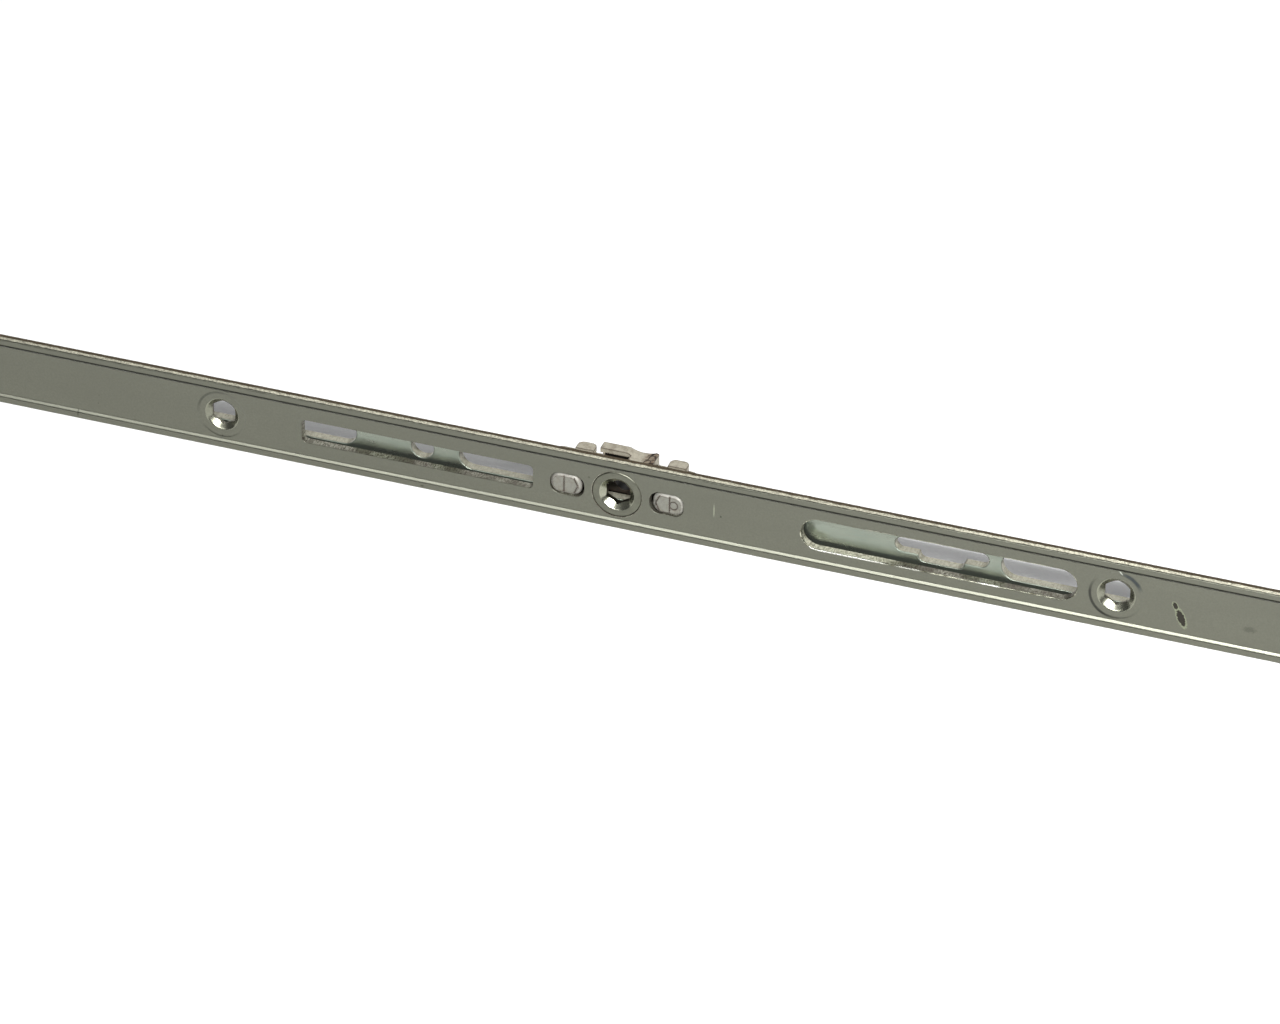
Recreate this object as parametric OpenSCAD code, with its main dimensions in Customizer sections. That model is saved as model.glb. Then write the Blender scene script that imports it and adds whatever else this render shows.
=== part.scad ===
// Window espagnolette: a 16 mm faceplate with a sliding drive rod behind it,
// a rack and pinion gearbox for the handle, and two roller cams on the rod.
// X runs along the faceplate, Y goes back into the sash groove, Z is across the width.
// The origin is on the middle screw seat's axis, in the plane of the faceplate's front.

/* [Faceplate] */
// Width of the faceplate
plate_w = 16; // [15:0.5:18]
// Full thickness of the faceplate, over its rails
plate_t = 2.4; // [2.2:0.1:3]
// Depth of the shallow channel between the rails
recess_d = 0.5; // [0.3:0.1:0.7]
// Flat width of each rail
rail_w = 1.5; // [1:0.1:2]
// Width of the slope between a rail and the channel's floor
rail_slope = 0.7; // [0.3:0.1:0.9]
// Radius of the faceplate's front edges
edge_r = 0.45; // [0.2:0.05:0.8]
// Radius of the corners at the faceplate's cut ends
end_corner_r = 1.2; // [0.5:0.1:2]
// Distance from the outer screw seats to the faceplate's ends
seat_to_end = 30.5; // [28:0.5:40]

/* [Screw seats] */
// Diameter of the coined ring round a screw seat
ring_d = 10.8; // [10:0.1:11.4]
// Depth of the coined ring
ring_dip = 0.12; // [0.05:0.01:0.2]
// Diameter of the countersink's rim
rim_d = 7.5; // [7:0.1:8]
// Depth of the countersink
cone_h = 1.1; // [0.9:0.05:1.2]
// Hexagonal hole, measured across its flats
hex_af = 5.2; // [4.8:0.1:5.4]
// Place of the left seat
left_seat_x = -88.7; // [-92:0.1:-86]
// Place of the right seat
right_seat_x = 106.3; // [105:0.1:110]
// Diameter of the hole for a sash screw's shank
screw_hole_d = 4.3; // [4:0.1:4.6]

/* [Slots] */
// Middle of the square ended slot
short_slot_x = -44.45; // [-46:0.05:-43]
// Length of the square ended slot
short_slot_l = 51.9; // [46:0.1:53]
// Height of the square ended slot
short_slot_h = 5.5; // [5:0.1:6]
// Radius of the corners of the square ended slot
short_slot_r = 1; // [0.5:0.1:1.5]
// Middle of the round ended slot
long_slot_x = 69.1; // [68:0.1:71]
// Length of the round ended slot
long_slot_l = 58.2; // [50:0.1:59]
// Height of the round ended slots
long_slot_h = 7.1; // [6.9:0.1:7.6]
// Distance from the middle to each peg window
window_x = 10.9; // [10.3:0.1:11.5]
// Length of a peg window
window_l = 7.5; // [7:0.1:8]
// Height of a peg window
window_h = 5.1; // [4.6:0.1:5.2]
// Radius of a peg window's corners
window_r = 2.2; // [1.5:0.1:2.3]

/* [Drive rod] */
// Width of the drive rod
rod_w = 10; // [9.6:0.1:10.8]
// Thickness of the drive rod
rod_t = 2.2; // [2:0.1:2.8]
// Gap between the faceplate and the drive rod
rod_gap = 0.9; // [0.85:0.05:1.3]
// Travel of the drive rod to each side, for a quarter turn of the handle
stroke = 18; // [16:0.5:19]
// Height of the openings that pass the guides
guide_opening_h = 5.8; // [5.6:0.1:6.2]
// Height of the opening behind the right seat
right_opening_h = 6.5; // [6:0.1:7]
// Spare length past the left seat's screw at full travel
left_over_run = 9.45; // [6:0.05:11]
// Spare length past the right seat's screw at full travel
right_over_run = 4.45; // [3:0.05:6]
// Spare length past the middle pegs at full travel
mid_over_run = 3.25; // [1.5:0.05:5]
// Round hole in the rod for a cam that isn't fitted
spare_hole_x = -44.2; // [-46:0.1:-42]
// Middle of the stepped opening for a clip-in cam
step_x = 69.15; // [68:0.05:71]
// Full length of the stepped opening
step_l = 19.9; // [18:0.1:21]
// Height of the stepped opening's narrow ends
step_h = 3.4; // [3:0.1:3.8]
// Length of the stepped opening's wide middle
step_wide_l = 9.7; // [9:0.1:11]
// Height of the stepped opening's wide middle
step_wide_h = 6.4; // [6:0.1:6.8]
// Height of the pressed pips that keep the rod off the faceplate
pip_h = 0.7; // [0.4:0.05:0.8]

/* [Middle guide] */
// Width of the sash groove, and of what lies in it
groove_w = 12; // [11.6:0.1:13]
// Gap between the drive rod and what lies behind it
back_gap = 0.3; // [0.2:0.05:0.5]
// Play between a peg and its window
peg_play = 0.1; // [0.05:0.05:0.2]
// Wider gap at the end of a peg that faces the middle seat
peg_gap = 0.55; // [0.3:0.05:0.8]
// Thickness of the guide's bridge behind the rod
bridge_t = 1.6; // [1.2:0.1:2]
// Height of the guide's bridge, which stays hidden behind the faceplate
bridge_h = 9.4; // [8:0.1:11]
// Depth of the guide's lugs behind the rod's back
lug_d = 3.1; // [2.5:0.1:4]
// Depth of the guide's middle block behind the rod's back
block_d = 4.5; // [4.2:0.1:6]

/* [Gearbox] */
// Place of the handle's axis along the faceplate
gear_x = -202; // [-208:0.5:-200]
// Distance from the faceplate's front to the handle's axis
backset = 25; // [24:0.5:30]
// Side of the square hole for the handle's spindle
spindle_sq = 7; // [6.8:0.1:8]
// Play of the spindle in its square hole
spindle_play = 0.1; // [0.05:0.05:0.2]
// Distance between the two handle screws
handle_pitch = 43; // [42:0.5:45]
// Diameter of the holes for the handle screws
handle_hole_d = 5.5; // [5.2:0.1:5.8]
// Face width of the pinion and the rack
tooth_w = 6; // [5:0.1:6.4]
// Play beside the pinion and the rack
side_play = 0.4; // [0.3:0.05:0.6]
// Diameter of the pinion's journals
journal_d = 14; // [13:0.1:15]
// Running clearance of the journals, on the radius
journal_play = 0.05; // [0.02:0.01:0.09]
// Play between the teeth, along the pitch line
backlash = 0.2; // [0.1:0.05:0.3]
// Thickness of the housing's outer wall round the pinion
case_wall = 1.8; // [1.5:0.1:2.5]
// Thickness of the housing's feet
foot_t = 4.1; // [3.5:0.1:5]
// Diameter of the housing's posts, which pass through the rod
post_d = 5.2; // [5:0.1:5.4]

/* [Cams] */
// Place of the right cam
right_cam_x = 170; // [169:0.5:176]
// Outer diameter of a cam roller
roller_d = 10; // [8.5:0.1:11]
// Length of a cam roller
roller_l = 6.8; // [5:0.1:9]
// Diameter of a cam stud's axle
axle_d = 5.6; // [5:0.1:5.8]
// Running clearance of a roller on its axle, on the radius
roller_play = 0.05; // [0.02:0.01:0.09]
// Thickness of the washer under a roller
washer_t = 0.8; // [0.6:0.1:1.2]
// Height of a cam stud's head
cam_head_h = 1.4; // [1.2:0.1:2]

/* [Hidden] */
$fn = 64;
eps = 0.01;
fit = 0.03;                                   // clearance of pieces riveted or pressed together
back_y = plate_t;                             // faceplate's back
rod_y0 = plate_t + rod_gap;                   // rod's front
rod_y1 = rod_y0 + rod_t;                      // rod's back
case_y0 = rod_y1 + back_gap;                  // front of everything behind the rod
mouth_z = plate_w / 2 - rail_w;
floor_z = mouth_z - rail_slope;
ring_r = ring_d / 2;
rim_r = rim_d / 2;
screw_r = screw_hole_d / 2;
ring_slope = 0.25;                            // width of the coined ring's sloping edge
travel_play = 0.7;                            // least spare length of a slot at full travel

// Rack and pinion: a quarter turn moves the rod by one stroke
pinion_teeth = 12;
rack_teeth = 8;
pressure_angle = 25;
pitch_r = stroke / (PI / 2);
tooth_pitch = 2 * PI * pitch_r / pinion_teeth;
tooth_module = 2 * pitch_r / pinion_teeth;
addendum = 0.9 * tooth_module;
dedendum = 1.15 * tooth_module;
base_r = pitch_r * cos(pressure_angle);
tip_r = pitch_r + addendum;
root_r = pitch_r - dedendum;
pitch_y = backset - pitch_r;
rack_half = rack_teeth * tooth_pitch / 2;
rack_tip_y = pitch_y + addendum;

// Gearbox housing
journal_r = journal_d / 2;
tip_play = 0.7;
cavity_r = tip_r + tip_play;
cavity_z = tooth_w / 2 + side_play;
channel_y = rack_tip_y + tip_play;
channel_half = rack_half + stroke + travel_play;
post_r = post_d / 2;
post_x = channel_half + post_r + 1.6;
foot_half = post_x + 5.5;
block_half = handle_pitch / 2 + 5.5;
block_back = backset + cavity_r + case_wall;
block_corner_r = 10;
rivet_r = 1.5;
rivet_head_r = 2.6;
rivet_head_h = 0.8;
rivet_at = [for (s = [-1, 1]) each [[s * (handle_pitch / 2 - 1), backset + 8.5],
                                    [s * (handle_pitch / 2 + 0.5), channel_y + 2.6]]];
case_screw_r = 1.6;
case_screw_head_r = 3.3;
case_screw_l = 8.2;
socket_af = 2.5;
rack_rivet_r = 2;
rack_rivet_head_r = 3.3;
rack_rivet_x = 2.5 * tooth_pitch;

// Cams, seats and ends
stud_r = 3.25;                                // shoulder of a cam stud, in the faceplate's slot
stud_tail_r = 2.5;
stud_rivet_r = 3.6;
stud_rivet_h = 0.8;
cam_lift = 0.3;                               // gap between a cam washer and the faceplate
cam_slot_spare = 4.75;
cam_slot_half = stroke + stud_r + cam_slot_spare;
post_slot_half = stroke + post_r + travel_play;
web_land = 15;                                // steel left between a post's slot and a cam's hole
left_cam_x = gear_x - post_x - post_slot_half - web_land;
seat_land = 9.5;                              // from a cam's slot to the outer seat's middle
left_end_seat_x = left_cam_x - cam_slot_half - seat_land;
right_end_seat_x = right_cam_x + cam_slot_half + seat_land;
plate_x0 = left_end_seat_x - seat_to_end;
plate_x1 = right_end_seat_x + seat_to_end;
rod_end_gap = 4;
rod_x0 = plate_x0 + rod_end_gap;
rod_x1 = plate_x1 - rod_end_gap;
tube_r = 2.6;                                 // outer bushes' tubes, which pass through the rod
end_opening_half = stroke + tube_r + travel_play;
roller_y0 = -cam_lift - washer_t;
roller_gap = 0.05;
head_y = roller_y0 - roller_l - 2 * roller_gap;
pip_r = 2;
pip_at = [gear_x, (left_seat_x + gear_x) / 2 + 20, 43.3, right_seat_x + 30];
peg_l = window_l - peg_play - peg_gap;
peg_h = window_h - 2 * peg_play;

// Extrudes an outline drawn in X and Z from y0 back to y1
module slab(y0, y1) {
    translate([0, y1, 0]) rotate([90, 0, 0]) linear_extrude(y1 - y0) children();
}

// Cylinder or cone along Y, from y0 back to y1
module y_rod(y0, y1, r0, r1 = undef) {
    translate([0, y0, 0]) rotate([-90, 0, 0]) cylinder(h = y1 - y0, r1 = r0, r2 = is_undef(r1) ? r0 : r1);
}

module stadium(l, h) {
    square([l - h, h], center = true);
    for (s = [-1, 1]) translate([s * (l - h) / 2, 0]) circle(d = h);
}

module round_rect(l, h, r) {
    square([l - 2 * r, h], center = true);
    square([l, h - 2 * r], center = true);
    for (x = [-1, 1], y = [-1, 1]) translate([x * (l / 2 - r), y * (h / 2 - r)]) circle(r);
}

module hexagon(af) {
    rotate(30) circle(r = af / 2 / cos(30), $fn = 6);
}

// Rolled strip: round front edges and a channel with sloping sides
module plate_section() {
    difference() {
        union() {
            translate([edge_r, -plate_w / 2]) square([plate_t - edge_r, plate_w]);
            translate([0, edge_r - plate_w / 2]) square([plate_t, plate_w - 2 * edge_r]);
            for (s = [-1, 1]) translate([edge_r, s * (plate_w / 2 - edge_r)]) circle(edge_r);
        }
        polygon([[-1, -mouth_z], [0, -mouth_z], [recess_d, -floor_z],
                 [recess_d, floor_z], [0, mouth_z], [-1, mouth_z]]);
    }
}

// Countersink that starts at the floor of the coined ring
module seat_cone() {
    y_rod(recess_d + ring_dip - eps, recess_d + ring_dip + cone_h, rim_r + eps, rim_r - cone_h);
}

module coined_ring() {
    y_rod(recess_d - eps, recess_d + ring_dip, ring_r, ring_r - ring_slope);
}

module hex_seat() {
    coined_ring();
    seat_cone();
    slab(0, back_y + 2) hexagon(hex_af);
}

module faceplate() {
    color("#7c7e72") difference() {
        intersection() {
            translate([plate_x0, 0, 0]) rotate([90, 0, 90]) linear_extrude(plate_x1 - plate_x0)
                plate_section();
            translate([(plate_x0 + plate_x1) / 2, 0, 0]) slab(-1, plate_t + 1)
                round_rect(plate_x1 - plate_x0, plate_w, end_corner_r);
        }
        for (x = [left_seat_x, right_seat_x]) translate([x, 0, 0]) hex_seat();
        for (x = [left_end_seat_x, 0, right_end_seat_x]) translate([x, 0, 0]) y_rod(0, back_y + 1, ring_r);
        slab(0, back_y + 1) {
            translate([short_slot_x, 0]) round_rect(short_slot_l, short_slot_h, short_slot_r);
            translate([long_slot_x, 0]) stadium(long_slot_l, long_slot_h);
            for (x = [left_cam_x, right_cam_x]) translate([x, 0]) stadium(2 * cam_slot_half, long_slot_h);
            for (s = [-1, 1]) translate([s * window_x, 0]) round_rect(window_l, window_h, window_r);
        }
        for (s = [-1, 1]) translate([gear_x + s * post_x, 0, 0]) {
            coined_ring();
            screw_seat(case_screw_r + fit, case_screw_head_r + fit);
        }
    }
}

// Hole and countersink for one of the gearbox screws
module screw_seat(r, head_r) {
    seat_y = recess_d + ring_dip;
    y_rod(seat_y - eps, seat_y + head_r - r, head_r, r);
    y_rod(seat_y, back_y + 1, r);
}

// Turned steel insert with the hexagonal hole, flush in the faceplate
module mid_bush() {
    collar_h = 0.4;
    color("#83857a") difference() {
        union() {
            y_rod(recess_d, back_y, ring_r - fit);
            y_rod(back_y - eps, back_y + collar_h, ring_r - 1.2);
        }
        seat_cone();
        y_rod(recess_d - eps, recess_d + ring_dip, rim_r + ring_dip, rim_r);
        slab(0, back_y + 1) hexagon(hex_af);
    }
}

// Tubular rivet: flush head in the faceplate, tube through the rod, flared tail behind the guide
module end_bush() {
    tail_y = case_y0 + bridge_t;
    tail_h = 0.6;
    color("#83857a") difference() {
        union() {
            y_rod(recess_d, back_y, ring_r - fit);
            y_rod(back_y - eps, tail_y + tail_h, tube_r);
            y_rod(tail_y, tail_y + tail_h, tube_r + 1);
        }
        seat_cone();
        y_rod(recess_d - eps, recess_d + ring_dip, rim_r + ring_dip, rim_r);
        y_rod(0, tail_y + 1, screw_r);
    }
}

// Plate behind the rod that the outer bush holds, with two ribs across its back
module end_guide() {
    guide_l = 20;
    rib_w = 2;
    color("#b9b3ac") difference() {
        union() {
            slab(case_y0, case_y0 + bridge_t) round_rect(guide_l, groove_w - 0.4, 2);
            for (s = [-1, 1]) translate([s * (guide_l / 2 - 3), 0])
                slab(case_y0, case_y0 + bridge_t + 1) square([rib_w, groove_w - 3], center = true);
        }
        y_rod(0, case_y0 + 10, tube_r + fit);
    }
}

// One peg: its end is chamfered all round and scored by the die's parting lines
module guide_peg() {
    chamfer = 0.7;
    score_w = 0.16;
    score_d = 0.15;
    corner_r = window_r - peg_play;
    difference() {
        hull() {
            slab(recess_d + chamfer, case_y0 + eps) round_rect(peg_l, peg_h, corner_r);
            slab(recess_d, recess_d + eps) round_rect(peg_l - 2 * chamfer, peg_h - 2 * chamfer, corner_r - chamfer);
        }
        slab(0, recess_d + score_d) {
            translate([-0.3, 0]) square([score_w, peg_h], center = true);
            for (s = [-1, 1]) translate([peg_l / 2 - 1.3, s * peg_h / 4]) rotate(s * 25)
                square([score_w, peg_h / 2], center = true);
        }
    }
}

// Die-cast guide: two pegs held in the faceplate's windows, and a bridge behind the rod
module mid_guide_block() {
    top_z = groove_w / 2;
    tab_x0 = -6.1;
    tab_x1 = 0.6;
    tab_y0 = case_y0 + 1.75;
    tab_t = 0.55;
    block_x0 = tab_x0 + 0.6;
    block_x1 = 6.4;
    block_y1 = rod_y1 + block_d;
    pocket_wall = 0.5;
    pocket_z = screw_r + 0.6;
    saddle_r = 7;
    lug_l = 4.1;
    lug_r = 1.3;
    mark_r = 0.95;
    mark_w = 0.15;
    color("#b9b3ac") difference() {
        union() {
            translate([-window_x - (peg_gap - peg_play) / 2, 0, 0]) guide_peg();
            mirror([1, 0, 0]) translate([-window_x - (peg_gap - peg_play) / 2, 0, 0]) guide_peg();
            slab(case_y0, case_y0 + bridge_t) round_rect(2 * (window_x + window_l / 2) + 2, bridge_h, 1.5);
            for (x = [-8.95, 11.3]) translate([x, 0, -top_z]) linear_extrude(2 * top_z) guide_lug(lug_l, lug_r);
            translate([block_x0, case_y0, -top_z]) cube([block_x1 - block_x0, block_y1 - case_y0, 2 * top_z]);
            translate([tab_x0, tab_y0, -top_z]) cube([tab_x1 - tab_x0, block_y1 - tab_y0, 2 * top_z]);
        }
        // ring that the ejector pin left on the right peg
        slab(0, recess_d + 0.1) translate([window_x + 1.4, 0]) difference() {
            circle(mark_r);
            circle(mark_r - mark_w);
        }
        for (m = [0, 1]) mirror([0, 0, m]) {
            // pocket in front of and below the overhanging tab, the same on both edges
            translate([block_x0 + pocket_wall, case_y0 - 1, pocket_z])
                cube([tab_x1 - block_x0 - pocket_wall, block_y1 - case_y0, top_z - tab_t - pocket_z]);
            translate([block_x0, case_y0 - 1, pocket_z])
                cube([tab_x1 - block_x0, tab_y0 - case_y0 + 1, top_z]);
            // room below the end of the tab that stands out past the block
            translate([tab_x0 - 1, case_y0 + bridge_t, -eps])
                cube([block_x0 - tab_x0 + 1, block_d, top_z - tab_t + eps]);
            // saddle that dips between the tab and the right end of the block
            translate([(tab_x1 + block_x1) / 2 - 0.6, 0, top_z + saddle_r - 0.75]) y_rod(case_y0 - 1, 20, saddle_r);
        }
        y_rod(case_y0 - 1, block_y1 + 1, screw_r);
    }
}

// Lug outline in X and Y, with rounded corners at its back
module guide_lug(l, r) {
    depth = lug_d - back_gap;
    translate([-l / 2, case_y0]) square([l, depth - r]);
    translate([r - l / 2, case_y0]) square([l - 2 * r, depth]);
    for (s = [-1, 1]) translate([s * (l / 2 - r), case_y0 + depth - r]) circle(r);
}

// Half angle of a pinion tooth at radius r, on an involute flank
function involute(a) = tan(a) * 180 / PI - a;
function tooth_half_angle(r) = (tooth_pitch - backlash) / 4 / pitch_r * 180 / PI
    + involute(pressure_angle) - involute(acos(min(1, base_r / r)));

// One pinion tooth that points along +X
module pinion_tooth() {
    steps = 6;
    flank = [for (i = [0:steps]) let (r = base_r + (tip_r - base_r) * i / steps)
        [r * cos(tooth_half_angle(r)), r * sin(tooth_half_angle(r))]];
    foot_r = root_r - 0.3;
    foot_a = tooth_half_angle(base_r);
    polygon(concat([[foot_r * cos(foot_a), foot_r * sin(foot_a)]], flank,
        [for (i = [steps:-1:0]) [flank[i].x, -flank[i].y]], [[foot_r * cos(foot_a), -foot_r * sin(foot_a)]]));
}

// Pinion with teeth only where they reach the rack, journals and the square spindle hole
module drive_pinion() {
    toothed = 4;
    journal_l = groove_w - 0.4;
    collar_h = 0.6;
    translate([gear_x, backset, 0]) color("#8d8f92") difference() {
        union() {
            translate([0, 0, -tooth_w / 2]) linear_extrude(tooth_w) {
                circle(root_r);
                for (i = [-toothed:toothed]) rotate(i * 360 / pinion_teeth - 90) pinion_tooth();
            }
            translate([0, 0, -journal_l / 2]) cylinder(h = journal_l, r = journal_r);
        }
        cube([spindle_sq + spindle_play, spindle_sq + spindle_play, groove_w + 2], center = true);
        for (s = [-1, 1]) translate([0, 0, s * journal_l / 2])
            cube([spindle_sq + 1.2, spindle_sq + 1.2, 2 * collar_h / 3], center = true);
    }
}

// Outline of the rack in X and Y: straight flanks at the pressure angle
module rack_outline() {
    half_tip = (tooth_pitch - backlash) / 4 - addendum * tan(pressure_angle);
    half_root = (tooth_pitch - backlash) / 4 + dedendum * tan(pressure_angle);
    translate([-rack_half, rod_y1]) square([2 * rack_half, pitch_y - dedendum - rod_y1]);
    for (i = [0:rack_teeth - 1]) translate([(i - (rack_teeth - 1) / 2) * tooth_pitch, pitch_y])
        polygon([[-half_root, -dedendum - eps], [half_root, -dedendum - eps],
                 [half_tip, addendum], [-half_tip, addendum]]);
}

module rack() {
    color("#a3a6a8") difference() {
        translate([gear_x, 0, -tooth_w / 2]) linear_extrude(tooth_w) rack_outline();
        for (s = [-1, 1]) translate([gear_x + s * rack_rivet_x, 0, 0])
            y_rod(rod_y0, rack_rivet_end() + fit, rack_rivet_r + fit);
    }
}

function rack_rivet_end() = pitch_y - dedendum - 1;

// Countersunk rivets that hold the rack to the rod, flush with the rod's front
module rack_rivets() {
    color("#9a9c98") for (s = [-1, 1]) translate([gear_x + s * rack_rivet_x, 0, 0]) {
        y_rod(rod_y0, rod_y0 + rack_rivet_head_r - rack_rivet_r, rack_rivet_head_r, rack_rivet_r);
        y_rod(rod_y0 + 0.5, rack_rivet_end(), rack_rivet_r);
    }
}

// Outline of the gearbox block in X and Y, round at its back corners
module block_outline() {
    r = block_corner_r;
    translate([-block_half, case_y0]) square([2 * block_half, block_back - r - case_y0]);
    translate([r - block_half, case_y0]) square([2 * (block_half - r), block_back - case_y0]);
    for (s = [-1, 1]) translate([s * (block_half - r), block_back - r]) circle(r);
}

// What both halves of the housing leave free: pinion, rack, journals, screws and rivets
module gearbox_cavity() {
    translate([0, backset, -cavity_z]) cylinder(h = 2 * cavity_z, r = cavity_r);
    translate([-channel_half, case_y0 - 1, -cavity_z])
        cube([2 * channel_half, channel_y - case_y0 + 1, 2 * cavity_z]);
    translate([0, backset, -groove_w]) cylinder(h = 2 * groove_w, r = journal_r + journal_play);
    for (s = [-1, 1]) translate([s * handle_pitch / 2, backset, -groove_w])
        cylinder(h = 2 * groove_w, d = handle_hole_d);
    for (p = rivet_at) translate([p.x, p.y, 0]) {
        cylinder(h = 2 * groove_w, r = rivet_r + fit, center = true);
        for (m = [0, 1]) mirror([0, 0, m]) translate([0, 0, groove_w / 2 - rivet_head_h - fit])
            cylinder(h = groove_w, r = rivet_head_r + fit);
    }
}

// Shallow panel sunk into an outer face, with bosses left round each hole
module face_panel() {
    panel_d = 0.6;
    rim = 1.6;
    translate([0, 0, groove_w / 2 - panel_d]) linear_extrude(panel_d + 1) difference() {
        intersection() {
            translate([0, -rim]) block_outline();
            translate([-block_half + rim, channel_y + rim]) square([2 * (block_half - rim), block_back]);
        }
        translate([0, backset]) circle(journal_r + 2);
        for (s = [-1, 1]) translate([s * handle_pitch / 2, backset]) circle(d = handle_hole_d + 3.6);
        for (p = rivet_at) translate([p.x, p.y]) circle(rivet_head_r + 1);
    }
}

// Lower half with the feet and posts that carry the gearbox on the faceplate
module gearbox_body() {
    color("#aba8a2") translate([gear_x, 0, 0]) difference() {
        union() {
            translate([0, 0, -groove_w / 2]) linear_extrude(groove_w / 2) block_outline();
            for (s = [-1, 1]) {
                foot(s);
                translate([s * post_x, 0, 0]) y_rod(back_y, case_y0 + 1, post_r);
            }
        }
        gearbox_cavity();
        mirror([0, 0, 1]) face_panel();
        for (s = [-1, 1]) translate([s * post_x, 0, 0]) y_rod(0, case_screw_l + 1, case_screw_r + fit);
    }
}

// Foot with a sloping web that runs up to the block
module foot(side) {
    inner = block_half + 0.2;
    web_h = 6;
    translate([0, 0, -groove_w / 2]) linear_extrude(groove_w) polygon([
        [side * inner, case_y0], [side * foot_half, case_y0],
        [side * foot_half, case_y0 + foot_t - 1], [side * (foot_half - 1), case_y0 + foot_t],
        [side * (inner + web_h), case_y0 + foot_t], [side * inner, case_y0 + foot_t + web_h]]);
    translate([side > 0 ? block_half - 1 : -block_half - 0.3, case_y0, -groove_w / 2])
        cube([1.3, foot_t, groove_w / 2 - eps]);
}

module gearbox_cover() {
    color("#b4b1aa") translate([gear_x, 0, 0]) difference() {
        linear_extrude(groove_w / 2) block_outline();
        gearbox_cavity();
        face_panel();
    }
}

module gearbox_rivets() {
    color("#9a9c98") translate([gear_x, 0, 0]) for (p = rivet_at) translate([p.x, p.y, 0]) {
        cylinder(h = groove_w, r = rivet_r, center = true);
        for (m = [0, 1]) mirror([0, 0, m]) translate([0, 0, groove_w / 2 - rivet_head_h])
            cylinder(h = rivet_head_h, r1 = rivet_head_r, r2 = rivet_head_r - 0.5);
    }
}

// Countersunk screws with a hexagon socket, from the faceplate into the housing's posts
module gearbox_screws() {
    head_y = recess_d + ring_dip;
    color("#8d8f8c") for (s = [-1, 1]) translate([gear_x + s * post_x, 0, 0]) difference() {
        union() {
            y_rod(head_y, head_y + case_screw_head_r - case_screw_r, case_screw_head_r, case_screw_r);
            y_rod(head_y + 0.5, case_screw_l, case_screw_r);
        }
        slab(0, head_y + 1.3) hexagon(socket_af);
    }
}

// Flat rod, with an opening at every place where something fixed passes through it
module drive_rod() {
    color("#9da79f") difference() {
        union() {
            translate([(rod_x0 + rod_x1) / 2, 0, 0]) slab(rod_y0, rod_y1) round_rect(rod_x1 - rod_x0, rod_w, 0.8);
            for (x = pip_at) translate([x, 0, 0]) y_rod(rod_y0 - pip_h, rod_y0 + eps, pip_r - pip_h, pip_r);
        }
        slab(rod_y0 - 2, rod_y1 + 1) {
            stadium(2 * (window_x + window_l / 2 + stroke + mid_over_run), guide_opening_h);
            translate([left_seat_x, 0]) stadium(2 * (stroke + screw_r + left_over_run), guide_opening_h);
            translate([right_seat_x, 0]) stadium(2 * (stroke + screw_r + right_over_run), right_opening_h);
            for (x = [left_end_seat_x, right_end_seat_x])
                translate([x, 0]) stadium(2 * end_opening_half, guide_opening_h);
            for (s = [-1, 1]) translate([gear_x + s * post_x, 0]) stadium(2 * post_slot_half, guide_opening_h);
            translate([step_x, 0]) {
                stadium(step_l, step_h);
                round_rect(step_wide_l, step_wide_h, 1.4);
            }
        }
        for (x = [spare_hole_x, left_cam_x, right_cam_x]) translate([x, 0, 0])
            y_rod(rod_y0 - 1, rod_y1 + 1, stud_tail_r + fit);
        for (s = [-1, 1]) translate([gear_x + s * rack_rivet_x, 0, 0]) {
            y_rod(rod_y0 - eps, rod_y0 + rack_rivet_head_r - rack_rivet_r, rack_rivet_head_r + fit,
                rack_rivet_r + fit);
            y_rod(rod_y0, rod_y1 + 1, rack_rivet_r + fit);
        }
    }
}

// Stepped stud: rivet tail behind the rod, shoulder in the slot, axle and socketed head in front
module cam_stud(x) {
    axle_r = axle_d / 2;
    head_r = roller_d / 2 - 0.7;
    color("#8f918c") translate([x, 0, 0]) difference() {
        union() {
            y_rod(rod_y1, rod_y1 + stud_rivet_h, stud_rivet_r, stud_rivet_r - 0.5);
            y_rod(rod_y0 - eps, rod_y1 + eps, stud_tail_r);
            y_rod(-cam_lift, rod_y0, stud_r);
            y_rod(head_y, -cam_lift + eps, axle_r);
            y_rod(head_y - cam_head_h + 0.5, head_y, head_r);
            y_rod(head_y - cam_head_h, head_y - cam_head_h + 0.5, head_r - 0.5, head_r);
        }
        slab(head_y - cam_head_h - 1, head_y + 1.4) hexagon(4);
    }
}

module cam_washer(x) {
    color("#a9aaa6") translate([x, 0, 0]) difference() {
        y_rod(-cam_lift - washer_t, -cam_lift, roller_d / 2 + 0.8);
        y_rod(-cam_lift - washer_t - 1, 1, axle_d / 2 + fit);
    }
}

// Roller with chamfered rims, free on the stud's axle
module cam_roller(x) {
    r = roller_d / 2;
    rim = 0.5;
    y0 = roller_y0 - roller_gap - roller_l;
    color("#8c8e90") translate([x, 0, 0]) difference() {
        union() {
            y_rod(y0 + rim, y0 + roller_l - rim, r);
            y_rod(y0, y0 + rim, r - rim, r);
            y_rod(y0 + roller_l - rim, y0 + roller_l, r, r - rim);
        }
        y_rod(y0 - 1, y0 + roller_l + 1, axle_d / 2 + roller_play);
    }
}

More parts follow.
